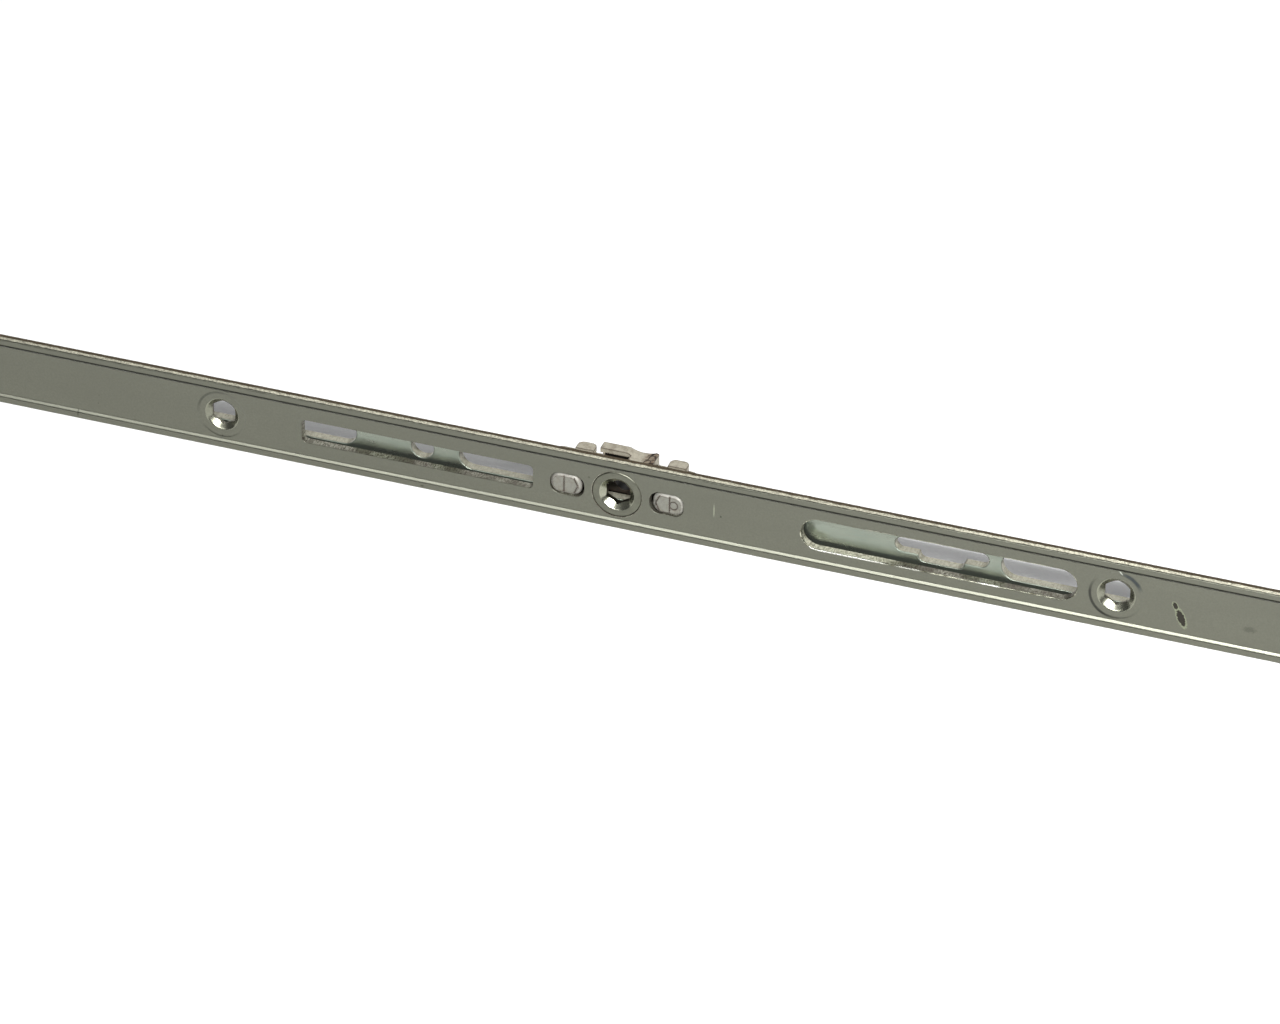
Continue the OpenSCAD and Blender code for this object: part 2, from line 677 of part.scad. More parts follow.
faceplate();
mid_bush();
mid_guide_block();
translate([left_end_seat_x, 0, 0]) end_bush();  // left_end_bush
translate([left_end_seat_x, 0, 0]) end_guide();  // left_end_guide
translate([right_end_seat_x, 0, 0]) end_bush();  // right_end_bush
translate([right_end_seat_x, 0, 0]) end_guide();  // right_end_guide
gearbox_body();
gearbox_cover();
gearbox_rivets();
gearbox_screws();
drive_rod();
rack();
rack_rivets();
cam_stud(left_cam_x);  // left_cam_stud
cam_washer(left_cam_x);  // left_cam_washer
cam_stud(right_cam_x);  // right_cam_stud
cam_washer(right_cam_x);  // right_cam_washer
cam_roller(left_cam_x);  // left_cam_roller
cam_roller(right_cam_x);  // right_cam_roller
drive_pinion();
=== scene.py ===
from math import cos, hypot, pi, radians, sin

import bmesh
import bpy
from bpy.props import FloatProperty, FloatVectorProperty, IntProperty, PointerProperty
from mathutils import Matrix, Vector
from mathutils.geometry import tessellate_polygon


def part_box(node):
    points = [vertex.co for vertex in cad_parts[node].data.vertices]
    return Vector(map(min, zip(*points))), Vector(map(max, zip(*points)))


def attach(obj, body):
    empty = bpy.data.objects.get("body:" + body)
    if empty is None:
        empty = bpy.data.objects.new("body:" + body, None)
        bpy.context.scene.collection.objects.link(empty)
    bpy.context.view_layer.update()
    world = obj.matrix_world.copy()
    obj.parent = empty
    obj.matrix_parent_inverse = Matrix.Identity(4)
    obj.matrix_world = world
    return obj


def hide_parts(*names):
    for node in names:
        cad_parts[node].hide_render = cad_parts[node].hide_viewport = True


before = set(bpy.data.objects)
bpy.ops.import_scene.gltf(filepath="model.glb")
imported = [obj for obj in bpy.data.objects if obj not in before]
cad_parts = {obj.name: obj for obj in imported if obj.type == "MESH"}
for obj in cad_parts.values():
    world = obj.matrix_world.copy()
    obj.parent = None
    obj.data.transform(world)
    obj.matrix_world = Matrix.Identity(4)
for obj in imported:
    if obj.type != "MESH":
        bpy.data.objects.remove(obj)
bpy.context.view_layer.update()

bl_info = {
    "name": "Window espagnolette",
    "version": (1, 0, 0),
    "blender": (4, 5, 0),
    "location": "View3D > Sidebar > Espagnolette",
    "description": "Builds the faceplate, drive rod, gearbox and cams of a window espagnolette",
    "category": "Object",
}

MM = 0.001

# Places along the faceplate, in millimetres from the middle screw seat
PLATE_X0, PLATE_X1 = -351.2, 236.0
ROD_X0, ROD_X1 = -347.2, 232.0
LEFT_SEAT_X, RIGHT_SEAT_X = -88.7, 106.3
LEFT_END_X, RIGHT_END_X = -320.7, 205.5
LEFT_CAM_X, RIGHT_CAM_X = -285.2, 170.0
GEAR_X = -202.0
POST_XS = (GEAR_X - 46.9, GEAR_X + 46.9)
RACK_RIVET_XS = (GEAR_X - 15.0, GEAR_X + 15.0)
PEG_X = 10.9

# Depths, from the plane of the faceplate's front rails
FLOOR_Y = 0.5
BACK_Y = 2.4
ROD_Y0, ROD_Y1 = 3.3, 5.5
CASE_Y = 5.8
RACK_RIVET_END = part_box("rack_rivets")[1][1] / MM

# Screw seats: hexagon across its flats, coined floor, ring, countersinks, and the bushes' radii
HEX_FLATS = 5.2
COIN_DEPTH = 0.12
RING_R = 5.4
SINK_R, RIGHT_SINK_R = 3.75, 3.9
BUSH_HOLE_R, BUSH_BORE_R = 5.4, 2.15
CASE_HOLE_R = 1.63

# Lengths and heights of the faceplate's openings, and the places of the slots in view
SHORT_SLOT, SHORT_SLOT_X = (51.9, 5.5), -44.45
LONG_SLOT, LONG_SLOT_X = (58.2, 7.1), 69.1
CAM_SLOT = (52.0, 7.1)
PEG_WINDOW, PEG_WINDOW_R = (7.5, 5.1), 2.2

# Lengths and heights of the rod's openings, by their middles, and its holes and pips
ROD_OPENINGS = {0.0: (71.8, 5.8), LEFT_SEAT_X: (59.2, 5.8), RIGHT_SEAT_X: (49.2, 6.5)}
ROD_OPENINGS.update({x: (42.6, 5.8) for x in (LEFT_END_X, RIGHT_END_X) + POST_XS})
STEPPED_X = 69.15
ROD_HOLE_R, ROD_HOLE_XS = 2.53, (-44.2, LEFT_CAM_X, RIGHT_CAM_X)
PIP_R, PIP_HEIGHT, PIP_XS = 2.8, 0.4, (GEAR_X, -125.35, 43.3, 136.3)

# Points round a screw seat, round a gearbox screw's seat, and round a small hole or fastener
SEAT_POINTS = 96
CASE_SEAT_POINTS = 72
FEW_POINTS = 48

# Degrees between two faces from which their edge is hard, in a new mesh and in a CAD solid's copy,
# and from which the copy's edge is broken
HARD_EDGE, COPY_HARD_EDGE = 32.0, 42.0
BROKEN_EDGE = 28.0


def linear(colour):
    """Turns an sRGB hex colour into the linear RGBA that the shaders take."""
    def channel(pair):
        value = int(pair, 16) / 255
        return value / 12.92 if value <= 0.04045 else ((value + 0.055) / 1.055) ** 2.4
    return tuple(channel(colour[i:i + 2]) for i in (1, 3, 5)) + (1.0,)


def length(name, description, millimetres):
    return FloatProperty(name=name, description=description, default=millimetres * MM, unit="LENGTH")


def base_colour(name, description, colour):
    return FloatVectorProperty(name=name, description=description, subtype="COLOR", size=4, min=0, max=1,
                               default=linear(colour))


class StripSizes(bpy.types.PropertyGroup):
    """Sizes of the rolled faceplate and of the rod behind it."""
    rail: length("Rail width", "Flat width of each rail", 1.38)
    slope: length("Slope width", "Width of the slope from a rail to the channel", 0.7)
    width: length("Faceplate width", "Full width of the faceplate", 16)
    edge: length("Edge radius", "Radius of the rolled front edges", 0.28)
    pierce_roll: length("Pierced edge radius", "Roll-over at the slots' front edges", 0.26)
    rod_roll: length("Rod edge radius", "Roll-over at the rod's front edges", 0.3)
    rod_width: length("Rod width", "Width of the drive rod", 10)


class GearSizes(bpy.types.PropertyGroup):
    """Sizes of the fasteners, and how far the housing's edges are broken."""
    rivet_head: length("Rivet head radius", "Radius of the housing rivets' heads", 2.6)
    socket: length("Socket width", "Across the flats of the screws' hexagon sockets", 2.5)
    seed: IntProperty(name="Turn seed", description="Picks how far each screw is turned", default=4, min=0)
    edge: length("Broken edge", "Width of the broken edges on the housing", 0.18)


class Finishes(bpy.types.PropertyGroup):
    """Base colours of the finishes."""
    web: base_colour("Faceplate", "Passivated zinc on rolled steel", "#6d6e62")
    rod: base_colour("Drive rod", "Bright zinc on the flat rod", "#90968a")
    cast: base_colour("Castings", "Bare die-cast zinc alloy", "#bbb5a3")
    floor: base_colour("Floor", "Plain pale floor", "#fdfdfd")


# Outlines, in X and Z, in millimetres

def angles(count):
    return [2 * pi * i / count for i in range(count)]


def quarter(steps):
    """Angles of a quarter turn in even steps, both ends included."""
    return [pi / 2 * i / steps for i in range(steps + 1)]


def turned(radius, x, count=SEAT_POINTS):
    """Outline about a middle at x; radius is one number or one for each point."""
    radii = radius if isinstance(radius, list) else [radius] * count
    return [(x + r * cos(a), r * sin(a)) for r, a in zip(radii, angles(count))]


def hexagon(flats, count=SEAT_POINTS):
    """Distances from the middle to the sides of a hexagon with corners on Z, at even angles."""
    step = pi / 3
    return [flats / 2 / cos((a + step / 2) % step - step / 2) for a in angles(count)]


def round_rect(size, r, grow, per_corner=12):
    """Rectangle grown all round, r its radius before that; counter-clockwise seen from the front."""
    out = []
    half_x, half_z = (side / 2 + grow for side in size)
    r += grow
    for k, (sx, sz) in enumerate(((1, 1), (-1, 1), (-1, -1), (1, -1))):
        cx, cz = sx * (half_x - r), sz * (half_z - r)
        for i in range(per_corner + 1):
            a = pi / 2 * (k + i / per_corner)
            out.append((cx + r * cos(a), cz + r * sin(a)))
    return out


def stadium(size, grow):
    return round_rect(size, size[1] / 2 - 1e-4, grow, 14)


def stepped(grow):
    """The rod's stepped opening: a narrow stadium with a wider middle."""
    narrow, wide = 3.4 / 2 + grow, 6.4 / 2 + grow
    end, middle = 19.9 / 2 + grow, 9.7 / 2 + grow
    r = 1.4 + grow
    inner = max(0.35 - grow, 0.05)
    out = []
    for sx, sz, order in ((1, 1, 1), (-1, 1, -1), (-1, -1, 1), (1, -1, -1)):
        part = [(end - narrow + narrow * cos(a), narrow * sin(a)) for a in quarter(12)]
        part += [(middle + inner - inner * sin(a), narrow + inner - inner * cos(a)) for a in quarter(6)]
        part += [(middle - r + r * cos(a), wide - r + r * sin(a)) for a in quarter(6)]
        part = [(sx * x, sz * z) for x, z in part]
        out += part if order > 0 else part[::-1]
    return out


def shifted(outline, x):
    return [(px + x, pz) for px, pz in outline]


# Meshes

class Shell:
    """Gathers points and faces in millimetres, each face with a material number."""

    def __init__(self):
        self.points, self.faces, self.finish = [], [], []

    def ring(self, outline, y):
        """Adds an outline at depth y; y may be one number or one for each point."""
        depths = y if isinstance(y, list) else [y] * len(outline)
        first = len(self.points)
        self.points += [(x, d, z) for (x, z), d in zip(outline, depths)]
        return list(range(first, len(self.points)))

    def face(self, corners, finish):
        self.faces.append(tuple(corners))
        self.finish.append(finish)

    def sleeve(self, rings, finishes):
        """Joins each ring to the next; finishes is one material number or one for each band."""
        bands = list(zip(rings, rings[1:]))
        if not isinstance(finishes, list):
            finishes = [finishes] * len(bands)
        for (a, b), finish in zip(bands, finishes):
            for i in range(len(a)):
                j = (i + 1) % len(a)
                self.face((a[i], a[j], b[j], b[i]), finish)

    def fill(self, outer, holes, finish, forward):
        """Fills a flat face inside outer and round the holes; forward faces the front, -Y."""
        loops = [outer] + holes
        flat = [i for loop in loops for i in loop]
        outlines = [[Vector((self.points[i][0], self.points[i][2], 0)) for i in loop] for loop in loops]
        for tri in tessellate_polygon(outlines):
            a, b, c = (flat[k] for k in tri)
            (ax, _, az), (bx, _, bz), (cx, _, cz) = (self.points[k] for k in (a, b, c))
            area = (bx - ax) * (cz - az) - (cx - ax) * (bz - az)
            if abs(area) < 1e-9:
                continue
            self.face((a, b, c) if (area > 0) == forward else (a, c, b), finish)

    def build(self, name, materials):
        """Makes the object: doubles merged, normals outwards, hard edges kept."""
        mesh = bpy.data.meshes.new(name)
        mesh.from_pydata([tuple(c * MM for c in p) for p in self.points], [], self.faces)
        for polygon, finish in zip(mesh.polygons, self.finish):
            polygon.material_index = finish
        for material in materials:
            mesh.materials.append(material)
        bm = bmesh.new()
        bm.from_mesh(mesh)
        bmesh.ops.remove_doubles(bm, verts=bm.verts, dist=1e-7)
        bmesh.ops.dissolve_degenerate(bm, edges=bm.edges, dist=1e-8)
        bmesh.ops.recalc_face_normals(bm, faces=bm.faces)
        bm.to_mesh(mesh)
        bm.free()
        return smoothed(linked(name, mesh), HARD_EDGE, 100)


def linked(name, data):
    """Puts a mesh, lamp or camera into the scene as an object."""
    obj = bpy.data.objects.new(name, data)
    bpy.context.scene.collection.objects.link(obj)
    return obj


def smoothed(obj, angle, weight):
    """Shades an object smooth but for its hard edges, its normals evened by the faces' size."""
    obj.data.shade_smooth()
    obj.data.set_sharp_from_angle(angle=radians(angle))
    modifier = obj.modifiers.new("Even normals", "WEIGHTED_NORMAL")
    modifier.keep_sharp = True
    modifier.weight = weight
    return baked(obj)


def baked(obj):
    """Replaces an object's mesh by its evaluated one and removes the modifiers."""
    depsgraph = bpy.context.evaluated_depsgraph_get()
    mesh = bpy.data.meshes.new_from_object(obj.evaluated_get(depsgraph), depsgraph=depsgraph)
    old = obj.data
    obj.modifiers.clear()
    obj.data = mesh
    mesh.name = obj.name
    bpy.data.meshes.remove(old)
    return obj


def fastener_shape(rows, socket=None):
    """One fastener turned about Y, from rows of radius and depth; socket is its width and floor."""
    shell = Shell()
    rings = [shell.ring(turned(r, 0, FEW_POINTS), y) for r, y in rows]
    shell.sleeve(rings, 0)
    shell.fill(rings[-1], [], 0, False)
    if socket:
        width, floor = socket
        outline = turned(hexagon(width, FEW_POINTS), 0, FEW_POINTS)
        mouth, foot = shell.ring(outline, rows[0][1]), shell.ring(outline, floor)
        shell.fill(rings[0], [mouth], 0, True)
        shell.sleeve([mouth, foot], 0)
        shell.fill(foot, [], 0, True)
    else:
        shell.fill(rings[0], [], 0, True)
    return shell.build("fastener shape", [])


def fastener_tree():
    """Geometry nodes that set one fastener on every point, each turned by chance about its own axis."""
    tree = bpy.data.node_groups.new("Fasteners on points", "GeometryNodeTree")
    for name, way, kind in (("Geometry", "OUTPUT", "Geometry"), ("Points", "INPUT", "Geometry"),
                            ("Fastener", "INPUT", "Object"), ("Tilt", "INPUT", "Rotation"),
                            ("Largest turn", "INPUT", "Float"), ("Seed", "INPUT", "Int"),
                            ("Finish", "INPUT", "Material")):
        tree.interface.new_socket(name, in_out=way, socket_type="NodeSocket" + kind)
    given = add(tree, "NodeGroupInput").outputs
    shape = add(tree, "GeometryNodeObjectInfo", inputs={"Object": given["Fastener"], "As Instance": True})
    by_chance = add(tree, "FunctionNodeRandomValue", {"data_type": "FLOAT"},
                    {2: 0.0, 3: given["Largest turn"], "Seed": given["Seed"]})
    spin = add(tree, "ShaderNodeCombineXYZ", inputs={"Y": by_chance.outputs[1]})
    placed = add(tree, "GeometryNodeInstanceOnPoints", inputs={
        "Points": given["Points"], "Instance": shape.outputs["Geometry"], "Rotation": given["Tilt"]})
    spun = add(tree, "GeometryNodeRotateInstances",
               inputs={"Instances": placed, "Rotation": spin, "Local Space": True})
    real = add(tree, "GeometryNodeRealizeInstances", inputs={"Geometry": spun})
    dressed = add(tree, "GeometryNodeSetMaterial", inputs={"Geometry": real, "Material": given["Finish"]})
    add(tree, "NodeGroupOutput", inputs={0: dressed})
    return tree


def fasteners(name, shape, points, material, tilt=(0.0, 0.0, 0.0), turn=0.0, seed=0):
    """Sets the fastener shape on points given in mm and returns one plain object."""
    tree = bpy.data.node_groups.get("Fasteners on points") or fastener_tree()
    mesh = bpy.data.meshes.new(name)
    mesh.from_pydata([tuple(c * MM for c in p) for p in points], [], [])
    obj = linked(name, mesh)
    modifier = obj.modifiers.new("Fasteners", "NODES")
    modifier.node_group = tree
    values = {"Fastener": shape, "Tilt": tilt, "Largest turn": turn, "Seed": seed, "Finish": material}
    for item in tree.interface.items_tree:
        if item.in_out == "INPUT" and item.name in values:
            modifier[item.identifier] = values[item.name]
    baked(obj)
    mesh = obj.data
    bpy.data.objects.remove(obj)
    bpy.data.objects.remove(shape)
    kept_normals = mesh.attributes.get("custom_normal")
    if kept_normals:
        mesh.attributes.remove(kept_normals)
    return smoothed(linked(name, mesh), HARD_EDGE, 100)


def place(obj, body, slot, *nodes):
    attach(obj, body)
    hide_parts(*nodes)


def dressed_copy(node, name, body, slot, materials, width, edge_finish=0, finish_at=None, reshape=None,
                 cuts=()):
    """Puts a copy of a CAD solid in its place, with its edges broken by a small bevel.

    edge_finish is the material number of the bevels. finish_at(middle in mm, normal, finish)
    may give each face another number. reshape(x, y, z in mm) may move each corner a little.
    Flat faces are split at the places along X named in cuts, so that each part can have its finish.
    """
    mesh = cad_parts[node].data.copy()
    mesh.name = name
    mesh.materials.clear()
    for material in materials:
        mesh.materials.append(material)
    bm = bmesh.new()
    bm.from_mesh(mesh)
    bmesh.ops.remove_doubles(bm, verts=bm.verts, dist=2e-6)
    bmesh.ops.dissolve_limit(bm, angle_limit=radians(0.6), verts=bm.verts, edges=bm.edges)
    for x in cuts:
        bmesh.ops.bisect_plane(bm, geom=bm.verts[:] + bm.edges[:] + bm.faces[:], plane_co=(x * MM, 0, 0),
                               plane_no=(1, 0, 0))
    for f in bm.faces:
        f.material_index = 0
    for corner in bm.verts if reshape else ():
        corner.co = [c * MM for c in reshape(*(c / MM for c in corner.co))]
    bm.to_mesh(mesh)
    bm.free()
    obj = linked(name, mesh)
    bevel = obj.modifiers.new("Broken edges", "BEVEL")
    bevel.width = width
    bevel.segments = 2
    bevel.limit_method = "ANGLE"
    bevel.angle_limit = radians(BROKEN_EDGE)
    bevel.use_clamp_overlap = True
    bevel.miter_outer = "MITER_ARC"
    bevel.material = edge_finish
    baked(obj)
    for polygon in obj.data.polygons if finish_at else ():
        middle = [c / MM for c in polygon.center]
        polygon.material_index = finish_at(middle, polygon.normal, polygon.material_index)
    place(smoothed(obj, COPY_HARD_EDGE, 50), body, slot, node)


# Materials

def add(tree, kind, settings=None, inputs=None):
    """Adds a node; an input is a value, an output, or a node that stands for its first output."""
    made = tree.nodes.new(kind)
    for key, value in (settings or {}).items():
        setattr(made, key, value)
    for key, value in (inputs or {}).items():
        if isinstance(value, bpy.types.Node):
            value = value.outputs[0]
        if isinstance(value, bpy.types.NodeSocket):
            tree.links.new(value, made.inputs[key])
        else:
            made.inputs[key].default_value = value
    return made


def span(pattern, start, end, low, high):
    """What a Map Range node takes to turn start into low and end into high, and to hold it beyond them."""
    return {"Value": pattern, "From Min": start, "From Max": end, "To Min": low, "To Max": high}


def darkened(colour, share):
    return tuple(c * share for c in colour[:3]) + (1.0,)


class Metal:
    """A material in the making: its tree and shader, and its colour as stained and painted so far."""

    def __init__(self, name, base, rough, metallic=1.0):
        self.material = bpy.data.materials.new(name)
        self.material.use_nodes = True
        self.tree = self.material.node_tree
        self.shader = self.tree.nodes["Principled BSDF"]
        for socket, value in (("Metallic", metallic), ("Roughness", rough), ("Base Color", base)):
            self.shader.inputs[socket].default_value = value
        self.colour = base
        self.at = add(self.tree, "ShaderNodeTexCoord").outputs["Object"]

    def grain(self, size, detail=3.0, stretch=(1, 1, 1), rough=0.55):
        """Cloudy pattern whose patches are size mm wide, drawn out along the object's axes by stretch."""
        mapped = add(self.tree, "ShaderNodeMapping",
                     inputs={"Vector": self.at, "Scale": tuple(1 / s for s in stretch)})
        return add(self.tree, "ShaderNodeTexNoise", {"normalize": True},
                   {"Vector": mapped, "Scale": 1 / (size * MM), "Detail": detail, "Roughness": rough})

    def mark(self, x, z, half_x, half_z, turn=0.0, ragged=0.0, size=0.5):
        """Distance from a mark's middle at x, z (mm): 0 there and 1 at the ends of its half axes."""
        mapped = add(self.tree, "ShaderNodeMapping", {"vector_type": "TEXTURE"},
                     {"Vector": self.at, "Location": (x * MM, 0, z * MM), "Rotation": (0, radians(turn), 0),
                      "Scale": (half_x * MM, 1, half_z * MM)})
        far = add(self.tree, "ShaderNodeVectorMath", {"operation": "LENGTH"}, {0: mapped})
        if not ragged:
            return far.outputs["Value"]
        return add(self.tree, "ShaderNodeMath", {"operation": "MULTIPLY_ADD"},
                   {0: self.grain(size), 1: ragged, 2: far.outputs["Value"]})

    def mixed(self, colour, pattern, start, end, stain, amount=1.0):
        """Lays a stain, painted shade or painted highlight over a colour: none of it where the pattern is
        at start, the amount at end.
        """
        share = add(self.tree, "ShaderNodeMapRange", inputs=span(pattern, start, end, 0.0, amount))
        stain = linear(stain) if isinstance(stain, str) else stain
        return add(self.tree, "ShaderNodeMix", {"data_type": "RGBA"},
                   {0: share, 6: colour, 7: stain}).outputs[2]

    def tint(self, *stain):
        """Stains the material's own colour, or paints shade or highlight into it; takes what mixed takes
        after its colour.
        """
        self.colour = self.mixed(self.colour, *stain)

    def vary(self, socket, pattern, start, end, low, high):
        """Lets one of the shader's values follow a pattern."""
        value = add(self.tree, "ShaderNodeMapRange", inputs=span(pattern, start, end, low, high))
        self.tree.links.new(value.outputs[0], self.shader.inputs[socket])

    def finished(self, height, depth, strength):
        """Gives the shader its colour and a fine relief, depth mm from valley to peak."""
        bump = add(self.tree, "ShaderNodeBump",
                   inputs={"Height": height, "Distance": depth * MM, "Strength": strength})
        self.tree.links.new(self.colour, self.shader.inputs["Base Color"])
        self.tree.links.new(bump.outputs["Normal"], self.shader.inputs["Normal"])
        return self.material


def ring_painted_shade(zinc):
    """Painted shade: dark lines in the coined rings' outer steps, each strongest on the side where the step
    lies dark; the bluish line at the right ring's upper right is a painted dark reflection.
    """
    tree = zinc.tree
    # each line: ring's middle, middle of its darkest side, reach, width, colour of the painted shade,
    # strength
    for x, side_x, side_z, reach, width, stain, strength in (
            (LEFT_SEAT_X, -2.5, 4.6, 5.4, 0.07, "#3c3d36", 0.6),
            (RIGHT_SEAT_X, -4.4, -2.6, 5.4, 0.07, "#2f302b", 0.9),
            (RIGHT_SEAT_X, 3.2, 4.4, 2.9, 0.12, "#2f363a", 0.9)):
        side = zinc.mark(x + side_x, side_z, reach, reach)
        beside = add(tree, "ShaderNodeMapRange", inputs=span(side, 1.15, 0.5, 0.0, strength))
        out = zinc.mark(x, 0, RING_R + 0.02, RING_R + 0.02)
        past = add(tree, "ShaderNodeMath", {"operation": "SUBTRACT"}, {0: out, 1: 1.0})
        off_line = add(tree, "ShaderNodeMath", {"operation": "ABSOLUTE"}, {0: past})
        zinc.tint(off_line, width, width / 3, stain, beside)


def passivated_zinc_sheet(base):
    """Rolled steel strip, zinc plated and olive passivated: satin, fine even grain, marks of handling, and
    painted shade in the coined rings.
    """
    zinc = Metal("Passivated zinc sheet", base, 0.3)
    fine = zinc.grain(0.4, 4)
    cloud = zinc.grain(9, 2, (4, 1, 1))
    zinc.tint(fine, 0.7, 0.3, darkened(base, 0.86))
    zinc.tint(cloud, 0.7, 0.3, darkened(base, 0.84), 0.6)
    # rare dark specks, about 0.3 mm
    zinc.tint(zinc.grain(0.9, 1), 0.80, 0.83, "#3c3d36", 0.5)
    # a dried drip in two parts, each with a pale rim
    for x, z, half_x, half_z in ((119.9, -2.2, 1.0, 2.7), (118.5, 0.4, 0.65, 1.1)):
        drip = zinc.mark(x, z, half_x, half_z, -24, 0.7, 0.4)
        zinc.tint(drip, 1.4, 1.2, "#9aa184", 0.5)
        zinc.tint(drip, 1.12, 1.0, "#241f1b", 0.95)
    # an upright scratch
    zinc.tint(zinc.mark(21.2, 0.9, 0.22, 2.0, 0, 0.9, 0.3), 1.4, 0.95, "#a9ad97", 0.45)
    # painted shade and a painted dark reflection in the coined rings' steps
    ring_painted_shade(zinc)
    # a raised burr on the right ring, and broken scratches on the upper rail
    zinc.tint(zinc.mark(RIGHT_SEAT_X + 0.6, 5.6, 0.2, 0.8, -35, 0.8, 0.3), 1.4, 0.9, "#c9cec2", 0.8)
    for x, half_x in ((-80.5, 5.5), (25.0, 12.0)):
        zinc.tint(zinc.mark(x, 7.72, half_x, 0.12, 0, 2.4, 0.5), 1.9, 1.5, "#3f4038", 0.6)
    # single spots: place, half sizes and strength
    for x, z, half_x, half_z, strength in ((22.7, -0.3, 0.28, 0.3, 0.7), (-122.2, -6.5, 0.2, 1.0, 0.8),
                                           (133.9, -1.7, 1.6, 0.8, 0.35), (79.4, -7.1, 0.3, 0.25, 0.6),
                                           (-43.0, -7.3, 0.45, 0.3, 0.6), (-6.1, 2.9, 0.3, 0.3, 0.5)):
        zinc.tint(zinc.mark(x, z, half_x, half_z, 0, 1.0, 0.4), 1.5, 1.0, "#33352e", strength)
    zinc.vary("Roughness", cloud, 0.3, 0.7, 0.27, 0.34)
    # the passivation is a thin clear film
    zinc.shader.inputs["Coat Weight"].default_value = 0.35
    zinc.shader.inputs["Coat Roughness"].default_value = 0.22
    return zinc.finished(fine, 0.015, 0.4)


def slit_edge(base):
    """The strip's slit side: a bright sheared land in front, its brightness partly a painted highlight, and
    a brown torn zone behind.
    """
    steel = Metal("Slit steel edge", base, 0.4)
    parts = add(steel.tree, "ShaderNodeSeparateXYZ", inputs={0: steel.at})
    depth = add(steel.tree, "ShaderNodeMath", {"operation": "MULTIPLY_ADD"},
                {0: steel.grain(0.9, 4, (1.6, 1, 1)), 1: 0.7 * MM, 2: parts.outputs["Y"]})
    # the sheared land's pale colour is partly a painted highlight laid on its real burnish
    steel.tint(depth, 0.66 * MM, 0.82 * MM, "#d6d3bd")
    steel.tint(depth, 1.5 * MM, 1.7 * MM, "#776b58")
    fine = steel.grain(0.3, 4, (1.4, 1, 1))
    steel.tint(fine, 0.56, 0.38, "#4b4437", 0.6)
    steel.vary("Roughness", depth, 1.5 * MM, 1.7 * MM, 0.3, 0.6)
    return steel.finished(fine, 0.05, 0.6)


def pierced_wall(name, light, dark, contrast, metallic):
    """Punched wall of a slot: fine upright scores where the punch dragged, darker where it tore."""
    wall = Metal(name, linear(light), 0.4)
    score = wall.grain(0.3, 4, (1, 3, 1))
    wall.tint(score, 0.60, 0.36, dark)
    wall.tint(wall.grain(6, 3), 0.40, 0.62, dark, contrast)
    # the wall is paler and duller about the long slot's left end than in the rest, which is darker
    pale_patch = wall.mark(49.0, -3.0, 13.0, 2.6, 0, 0.25, 1.2)
    pale = wall.mixed(linear("#c6c5b2"), score, 0.62, 0.40, "#7d7b6b")
    wall.tint(pale_patch, 1.15, 0.75, pale)
    wall.vary("Metallic", pale_patch, 1.15, 0.75, metallic, 0.15)
    return wall.finished(score, 0.04, 0.6)


def dragged_edge(base):
    """Front edge of a slot, where the punch drew the sheet in: rubbed bright in streaks along the slot,
    with painted highlights along the long slot's lower edge.
    """
    edge = Metal("Dragged slot edge", base, 0.27)
    streak = edge.grain(1.0, 3, (5, 1, 1))
    edge.tint(streak, 0.48, 0.62, "#bcbcaa")
    edge.tint(edge.grain(0.35, 3, (2, 1, 1)), 0.48, 0.36, "#55503f", 0.8)
    # painted highlights along the long slot's lower edge, where its rolled edge catches the light
    for x, half_x, strength in ((50.0, 9.0, 0.8), (63.0, 3.0, 0.35), (80.0, 2.6, 0.95)):
        edge.tint(edge.mark(x, -3.6, half_x, 1.0, 0, 0.6), 1.3, 0.9, "#f2f2ea", strength)
    return edge.finished(streak, 0.12, 0.9)


def bright_zinc_rod(base):
    """Flat steel rod with bright zinc: faint greenish sheen, soft clouds, drawing lines along X."""
    zinc = Metal("Bright zinc rod", base, 0.28, 0.9)
    lines = zinc.grain(0.3, 3, (30, 1, 1))
    cloud = zinc.grain(4, 3, (2.5, 1, 1))
    zinc.tint(cloud, 0.4, 0.62, "#858f84")
    zinc.tint(lines, 0.65, 0.35, darkened(base, 0.9))
    zinc.vary("Roughness", cloud, 0.4, 0.62, 0.25, 0.33)
    return zinc.finished(lines, 0.01, 0.3)


def turned_zinc(name, base, rough):
    """Turned steel with zinc: smooth, a little tarnished in clouds."""
    zinc = Metal(name, linear(base), rough)
    cloud = zinc.grain(1.2)
    zinc.tint(cloud, 0.7, 0.3, darkened(linear(base), 0.8))
    return zinc.finished(cloud, 0.01, 0.3)


def edge_grime(cast):
    """Brown speckle along the edges, where the normal rounded over 0.45 mm leaves the true one."""
    tree = cast.tree
    rounded = add(tree, "ShaderNodeBevel", {"samples": 6}, {"Radius": 0.45 * MM})
    true_normal = add(tree, "ShaderNodeNewGeometry").outputs["Normal"]
    alike = add(tree, "ShaderNodeVectorMath", {"operation": "DOT_PRODUCT"}, {0: rounded, 1: true_normal})
    apart = add(tree, "ShaderNodeMath", {"operation": "SUBTRACT"}, {0: 1.0, 1: alike.outputs["Value"]})
    edge = add(tree, "ShaderNodeMath", {"operation": "MULTIPLY"},
               {0: cast.grain(0.45, 3, rough=0.7), 1: apart})
    cast.tint(edge, 0.008, 0.03, "#43352a", 0.9)


